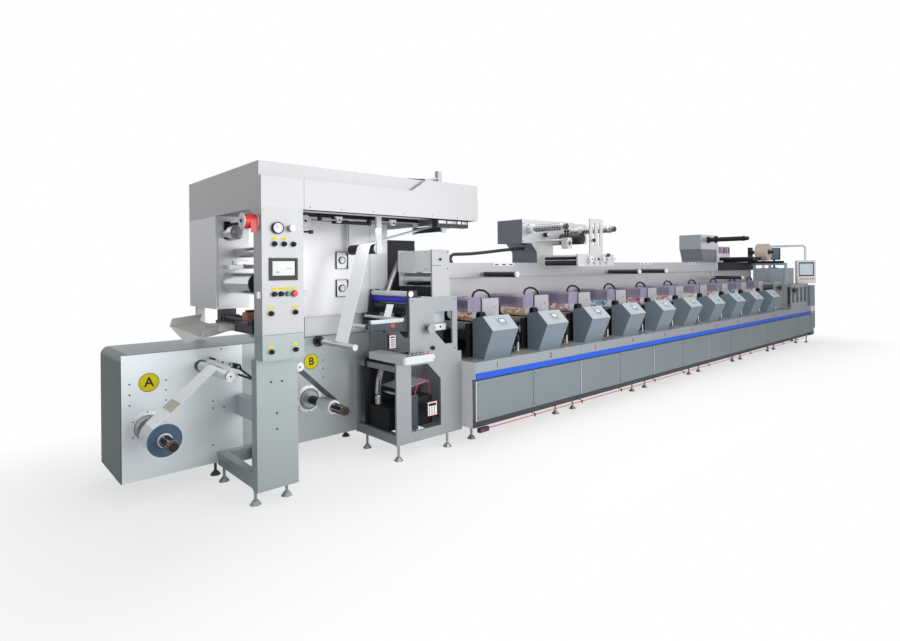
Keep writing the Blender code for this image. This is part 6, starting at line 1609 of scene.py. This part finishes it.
@dataclass
class Overheads(Section):
    """The overhead rewinds, the die-cutting section and the swinging screen."""

    wall: float = -0.030
    shaft_r: float = 0.0403
    ring_count: int = 17
    ring_start: float = 0.062
    ring_pitch: float = 0.024
    waste_axis: Span = (10.770, 1.900)
    waste_r: float = 0.1702
    stripe_start: float = 9.205
    stripe_pitch: float = 0.060
    screen_reach: float = 0.810
    screen_heading: float = -42.0
    screen_top: float = 1.730
    screen_front: float = -0.035

    def dress(self) -> None:
        """Give the overhead pieces their finishes."""
        o, dresser = self.origin, self.dresser
        dresser.dress(["rewind_housing_1"], "rewind_housing_1_paint", Palette.HOUSING, [
            Zone(lambda s: s.inside(y=o.span_y(-1.0, -0.0285)), Palette.BRUSHED),
            Zone(lambda s: s.inside(x=o.span_x(2.4, 3.80), z=(1.65, 1.9385),
                                    y=o.span_y(0.060, 0.140)), Palette.RUBBER),
            Zone(lambda s: s.barrel((o.x + 4.410, 2.000), 0.0725)
                 * s.inside(y=o.span_y(-0.345, -0.0305)), Palette.BLACK),
        ])
        dresser.dress(["rewind_housing_2"], "rewind_housing_2_paint", Palette.SIDE_SHEET, [
            Zone(lambda s: s.inside(y=o.span_y(-1.0, -0.0285)), Palette.BRUSHED),
            Zone(lambda s: s.inside(z=(1.0, 1.9385)), Palette.HOUSING)])
        for i in (1, 2):
            node = f"rewind_spindle_{i}"
            tip = tip_of(node)
            dresser.dress([node], f"rewind_shaft_{i}", Palette.CHROME, [
                Zone(lambda s, y=tip.y: s.inside(y=(y - 0.01, y + 0.045)), Palette.COPPER),
                Zone(lambda s, y=tip.y: s.inside(y=(y - 0.01, y + 0.012)), Palette.BLACK)])
            self.shaft_rings(node)
        dresser.dress(["rewind_spindle_3"], "rewind_shaft_3", Palette.BLACK)
        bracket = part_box("roller_bracket_1")
        dresser.dress(["roller_bracket_1"], "bracket_paint", Palette.BRACKET, [
            Zone(lambda s: s.inside(y=(bracket[0].y + 0.075, bracket[1].y - 0.022),
                                    z=(1.64, 1.765)), Palette.RUBBER),
            Zone(lambda s: s.inside(y=(bracket[0].y - 0.01, bracket[0].y + 0.025)),
                 Palette.BLACK)])
        reel = (o.x + self.waste_axis[0], self.waste_axis[1])
        dresser.dress(["waste_rewind"], "waste_finish", Palette.BLACK, [
            Zone(lambda s: s.inside(x=o.span_x(9.10, 9.74), y=o.span_y(-0.0485, 0.02)),
                 Palette.PALE),
            Zone(lambda s: s.barrel(reel, self.waste_r)
                 * s.inside(y=o.span_y(-0.391, -0.179)), Palette.MATRIX),
            Zone(lambda s: s.barrel(reel, 0.060), Palette.DARK)])
        dresser.dress(["die_section"], "die_steel", Palette.FRAME, [
            Zone(lambda s: s.inside(x=o.span_x(10.80, 10.838), z=(1.252, 1.70)), Palette.PANE),
            Zone(lambda s: s.barrel((o.x + 10.460, 1.200), 0.066)
                 * s.inside(y=o.span_y(-0.90, -0.6405)), Palette.BLACK),
            Zone(lambda s: s.barrel((o.x + 10.830, 1.140), 0.066)
                 * s.inside(y=o.span_y(-0.95, -0.7805)), Palette.BLACK)])
        dresser.dress(["screen_post"], "post_white", Palette.WHITE)
        dresser.dress(["operator_screen"], "screen_housing_white", Palette.WHITE)
        self.housing_fittings()
        self.bracket_caps()
        self.die_fittings()
        self.monitor()
        self.kit.close()
        self.screen_face()

    def shaft_rings(self, node: str) -> None:
        """Dark rings and a light hub round one rewind shaft.

        Args:
            node: The shaft's node.
        """
        dresser = self.dresser
        tip = tip_of(node)
        rings = Mesher(f"{node}_rings")
        for i in range(self.ring_count):
            start = self.ring_start + self.ring_pitch * i
            rings.lathe(tip, BACK, [
                (start, self.shaft_r), (start, self.shaft_r + 0.0015),
                (start + 0.007, self.shaft_r + 0.0015), (start + 0.007, self.shaft_r)],
                36, hollow=True)
        dresser.paint(rings.done(node), "trim_dark", Palette.DARK)
        hub = Mesher(f"{node}_hub").lathe(tip, BACK, [
            (0.490, self.shaft_r), (0.490, 0.058), (0.494, 0.060), (0.528, 0.060),
            (0.528, self.shaft_r)], 40, hollow=True)
        dresser.paint(hub.done(node, "brushed_steel"), "trim_pale", Palette.PALE)

    def housing_fittings(self) -> None:
        """Castings, rods, knobs and screws on the fronts of the rewind housings."""
        o, kit = self.origin, self.kit
        wall = self.wall
        kit.of(Trim.STEEL).lathe(o.at(3.920, -0.500, 1.925), FORWARD, [
            (PROUD, 0.020), (PROUD, 0.036), (0.006, 0.036), (0.006, 0.020)], 36, hollow=True)
        black = kit.of(Trim.BLACK)
        black.screws([o.at(3.920, -0.500, 1.925)], 0.018, 0.003)
        black.screws([o.at(x, -0.500, z) for x in (3.884, 3.956) for z in (1.876, 1.974)],
                     0.007, 0.003)
        for x in (3.895, 3.945):
            black.rod(o.at(x, -0.460, 1.9903), o.at(x, -0.460, 2.095), 0.009)
        black.block(o.at(3.880, -0.475, 2.060), o.at(3.960, -0.445, 2.078), 0.003)
        for x, z in ((4.040, 2.050), (4.540, 2.010)):
            black.lathe(o.at(x, wall, z), FORWARD, [
                (PROUD, 0.018), (0.012, 0.018), (0.014, 0.028), (0.055, 0.028),
                (0.060, 0.022)], 32)
            kit.of(Trim.WHITE).lathe(o.at(x, wall - 0.0595, z), FORWARD, [
                (0.0, 0.018), (0.004, 0.018), (0.006, 0.014)], 28)
        for node in ("rewind_housing_1", "rewind_housing_2"):
            low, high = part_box(node)
            left = max(low.x, o.x + 3.620) if node.endswith("1") else low.x
            edge = high.x if node.endswith("2") else o.x + 4.680
            black.screws([Vector((x, o.y + wall, z)) for x in (left + 0.025, edge - 0.025)
                          for z in (1.965, 2.175)], 0.007, 0.003)

    def bracket_caps(self) -> None:
        """The round caps on the front of the roller bracket."""
        kit = self.kit
        low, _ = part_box("roller_bracket_1")
        o = self.origin
        for x, radius, trim in ((4.209, 0.034, Trim.WHITE), (4.358, 0.016, Trim.BLACK),
                                (4.489, 0.028, Trim.WHITE), (4.601, 0.028, Trim.WHITE),
                                (4.715, 0.026, Trim.WHITE)):
            base = Vector((o.x + x, low.y, 1.737))
            kit.of(trim).lathe(base, FORWARD, [
                (PROUD, radius), (0.005, radius), (0.007, radius * 0.9)], 36)
            kit.of(Trim.DARK).lathe(base + FORWARD * 0.0065, FORWARD, [
                (0.0, radius * 0.35), (0.004, radius * 0.32)], 20)

    def die_fittings(self) -> None:
        """The striped plate, shaft ends and screws of the die-cutting section."""
        o, kit = self.origin, self.kit
        stripes = (Trim.SKY, Trim.RED, Trim.PLATE, Trim.NAVY)
        for i in range(2 * len(stripes)):
            x = self.stripe_start + self.stripe_pitch * i
            kit.of(stripes[i % len(stripes)]).block(
                o.at(x, -0.0560, 1.870), o.at(x + 0.058, -0.0484, 1.985), 0.001)
        for x, y, z in ((10.460, -0.640, 1.200), (10.830, -0.780, 1.140)):
            kit.of(Trim.STEEL).lathe(o.at(x, y - 0.0480, z), FORWARD, [
                (0.0, 0.014), (0.008, 0.014), (0.010, 0.010)], 24)
        dark = kit.of(Trim.DARK)
        dark.screws([o.at(x, -0.640, z) for x in (10.305, 10.780) for z in (0.850, 1.290)],
                    0.007, 0.003)
        dark.screws([o.at(x, -0.780, z) for x in (10.840, 11.320, 11.800)
                     for z in (0.850, 1.225)], 0.007, 0.003)
        dark.screws([o.at(x, -0.690, z) for x in (10.860, 11.225) for z in (1.290, 1.550)],
                    0.006, 0.003)

    def monitor(self) -> None:
        """The flat inspection monitor on its short post over the die section."""
        o, kit = self.origin, self.kit
        kit.of(Trim.BLACK).rod(o.at(11.205, -0.345, 1.5753), o.at(11.205, -0.345, 1.800), 0.018)
        kit.of(Trim.BLACK).block(o.at(11.150, -0.400, 1.5753), o.at(11.245, -0.290, 1.588), 0.003)
        kit.of(Trim.BLACK).block(o.at(11.185, -0.460, 1.744), o.at(11.222, -0.230, 1.990), 0.006)
        picture = Mesher("monitor_picture").block(
            o.at(11.1836, -0.446, 1.762), o.at(11.1852, -0.244, 1.976), 0.0)
        self.dresser.paint(picture.done(slot="black_metal"), "monitor_picture", Palette.PICTURE)

    def screen_face(self) -> None:
        """The picture and keys of the swinging operator screen."""
        dresser = self.dresser
        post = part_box("screen_post")
        centre = Vector(((post[0].x + post[1].x) / 2,
                         (post[0].y + post[1].y) / 2 - self.screen_reach, 0))
        turn = Matrix.Rotation(math.radians(self.screen_heading), 4, "Z")
        top = self.screen_top

        def place(x: float, y: float, z: float) -> Vector:
            """A place on the turned housing."""
            return centre + turn @ Vector((x, self.screen_front + y, z))

        def plate(piece: Mesher, x: Span, z: Span, y: Span) -> None:
            """Add a plate in front of the housing.

            Args:
                piece: The mesh that it joins.
                x: The span across the housing.
                z: The span of heights.
                y: Its front and its back.
            """
            outline = [place(x[0], y[0], z[0]), place(x[1], y[0], z[0]),
                       place(x[1], y[0], z[1]), place(x[0], y[0], z[1])]
            piece.loft(outline, turn @ Vector((0, y[1] - y[0], 0)))

        glass = Mesher("screen_glass")
        plate(glass, (-0.158, 0.158), (top - 0.328, top - 0.042), (0.0075, 0.0055))
        dresser.paint(glass.done("operator_screen", "black_metal"), "screen_dark", Palette.BLACK)
        picture = Mesher("screen_picture")
        plate(picture, (-0.140, 0.140), (top - 0.305, top - 0.062), (0.0052, 0.0047))
        dresser.paint(picture.done("operator_screen", "white_paint"), "screen_picture",
                      Palette.DISPLAY, [
                          Zone(lambda s: s.inside(z=(top - 0.082, top - 0.062)),
                               Palette.PLATE_GREY)])
        keys = Mesher("screen_keys")
        for i in range(6):
            x = -0.135 + 0.050 * i
            plate(keys, (x, x + 0.030), (top - 0.400, top - 0.378), (0.0, -0.004))
        dresser.paint(keys.done("operator_screen"), "cap_red", Palette.RED)


@dataclass
class Studio:
    """Pale floor, soft light and the camera of the photograph."""

    origin: Origin
    camera_place: Place = (-1.570, -4.480, 1.650)
    heading: float = -42.0
    roll: float = -0.0095
    lens: float = 22.4
    sensor: float = 36.0
    drop: float = -53 / 900
    floor_size: float = 60.0
    floor_level: float = -0.001
    near_glow: float = 0.66
    glow_reach: float = 1.6
    sky_colour: Colour = (0.93, 0.96, 1.0)
    sky_strength: float = 0.38
    canopy_power: float = 1.9

    def build(self) -> None:
        """Make the floor, the light and the camera."""
        self.floor()
        self.world()
        self.lamps()
        self.camera()

    def floor(self) -> None:
        """A white floor that keeps a soft shadow."""
        low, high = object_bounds()
        mesh = bpy.data.meshes.new("studio_floor")
        size, level = self.floor_size, self.floor_level
        mesh.from_pydata([(-size, -size, level), (size, -size, level), (size, size, level),
                          (-size, size, level)], [], [(0, 1, 2, 3)])
        floor = bpy.data.objects.new("studio_floor", mesh)
        bpy.context.scene.collection.objects.link(floor)
        shade = Shade("floor_white")
        shade.feed("Base Color", (0.93, 0.93, 0.93))
        shade.feed("Roughness", 0.9)
        shade.feed("Specular IOR Level", 0.1)
        glow = shade.node("ShaderNodeEmission", None, {"Color": WHITE_LIGHT})
        seen = Sock(shade, shade.node("ShaderNodeLightPath").outputs["Is Camera Ray"])
        x, y, _ = shade.axes()
        gap_x = shade.maths("MAXIMUM", shade.maths("MAXIMUM", low.x - x, x - high.x), 0.0)
        gap_y = shade.maths("MAXIMUM", shade.maths("MAXIMUM", low.y - y, y - high.y), 0.0)
        away = shade.maths("POWER", gap_x * gap_x + gap_y * gap_y, 0.5)
        rise = (1.0 - self.near_glow) / self.glow_reach
        glowing = shade.maths("MINIMUM", away * rise + self.near_glow, 1.0)
        mixer = shade.node("ShaderNodeMixShader", None, {
            0: seen * glowing, 1: Sock(shade, shade.surface.outputs[0]),
            2: Sock(shade, glow.outputs[0])})
        shade.put(shade.output.inputs["Surface"], Sock(shade, mixer.outputs[0]))
        mesh.materials.append(shade.material)
        floor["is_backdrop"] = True

    def world(self) -> None:
        """White surroundings, which light the press less than they show."""
        world = bpy.data.worlds.new("studio")
        bpy.context.scene.world = world
        world.use_nodes = True
        sky = Nodes(world.node_tree)
        path = sky.node("ShaderNodeLightPath")
        camera, glossy, through = (Sock(sky, path.outputs[f"Is {kind} Ray"])
                                   for kind in ("Camera", "Glossy", "Transmission"))
        seen = sky.maths("MAXIMUM", camera, sky.maths("MAXIMUM", glossy, through))
        lamp = sky.node("ShaderNodeBackground", None, {
            "Color": self.sky_colour, "Strength": self.sky_strength})
        white = sky.node("ShaderNodeBackground", None, {"Color": WHITE_LIGHT, "Strength": 1.0})
        mixer = sky.node("ShaderNodeMixShader", None, {
            0: seen, 1: Sock(sky, lamp.outputs[0]), 2: Sock(sky, white.outputs[0])})
        sky.node("ShaderNodeOutputWorld", None, {"Surface": Sock(sky, mixer.outputs[0])})

    def soft_box(self, name: str, size: Span, power: float,
                 matrix: Matrix) -> bpy.types.Object:
        """Add one rectangular lamp.

        Args:
            name: The name of the lamp.
            size: Its width and depth.
            power: Its power in watts.
            matrix: Its place and the way that it faces.

        Returns:
            The lamp.
        """
        lamp = bpy.data.lights.new(name, "AREA")
        lamp.shape = "RECTANGLE"
        lamp.size, lamp.size_y = size
        lamp.energy = power
        obj = bpy.data.objects.new(name, lamp)
        obj.matrix_world = matrix
        bpy.context.scene.collection.objects.link(obj)
        return obj

    def lamps(self) -> None:
        """Three soft boxes round the press and a strip under the canopy."""
        low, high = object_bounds()
        middle = (low + high) / 2
        for name, offset, size, power in (
                ("key", (-3.2, -5.5, 2.1), (6.0, 3.0), 205.0),
                ("fill", (3.0, -6.5, 4.5), (6.0, 5.0), 120.0),
                ("top", (-1.5, 0.0, 6.5), (12.0, 3.0), 230.0)):
            place = Vector((middle.x + offset[0], middle.y + offset[1], offset[2]))
            target = Vector((place.x * 0.8 + middle.x * 0.2, middle.y, 0.9))
            aim = (target - place).to_track_quat("-Z", "Y").to_matrix().to_4x4()
            self.soft_box(name, size, power, Matrix.Translation(place) @ aim)
        low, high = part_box("tower_cabinet_right")
        strip = self.soft_box(
            "canopy_lamp", (high.x - low.x, 0.20), self.canopy_power,
            Matrix.Translation(((low.x + high.x) / 2 + 0.15, low.y - 0.42, 1.99)))
        strip.visible_camera = False
        strip.visible_glossy = False

    def camera(self) -> None:
        """The camera at the photograph's place, height and angle."""
        data = bpy.data.cameras.new("photo_camera")
        data.lens = self.lens
        data.sensor_width = self.sensor
        data.shift_y = self.drop
        data.clip_end = 200.0
        camera = bpy.data.objects.new("photo_camera", data)
        camera.matrix_world = (Matrix.Translation(self.origin.at(*self.camera_place))
                               @ Matrix.Rotation(math.radians(self.heading), 4, "Z")
                               @ Matrix.Rotation(math.radians(90.0), 4, "X")
                               @ Matrix.Rotation(self.roll, 4, "Z"))
        bpy.context.scene.collection.objects.link(camera)
        bpy.context.scene.camera = camera
        bpy.context.scene.view_settings.view_transform = "Standard"


def main() -> None:
    """Dress the press, piece by piece."""
    logging.basicConfig(level=logging.INFO, format="%(message)s")
    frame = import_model()
    FRAME_NODES.update(frame["nodes"])
    origin = Origin()
    studio = Studio(origin)
    studio.build()
    dresser = Dresser()
    for section, name in ((Unwinder, "unwind"), (Tower, "tower"), (Infeed, "infeed"),
                          (PrintLine, "line"), (Overheads, "overhead")):
        section(origin, dresser, Kit(dresser, name)).dress()
        LOG.info("%s is dressed", section.__name__)


if __name__ == "__main__":
    main()
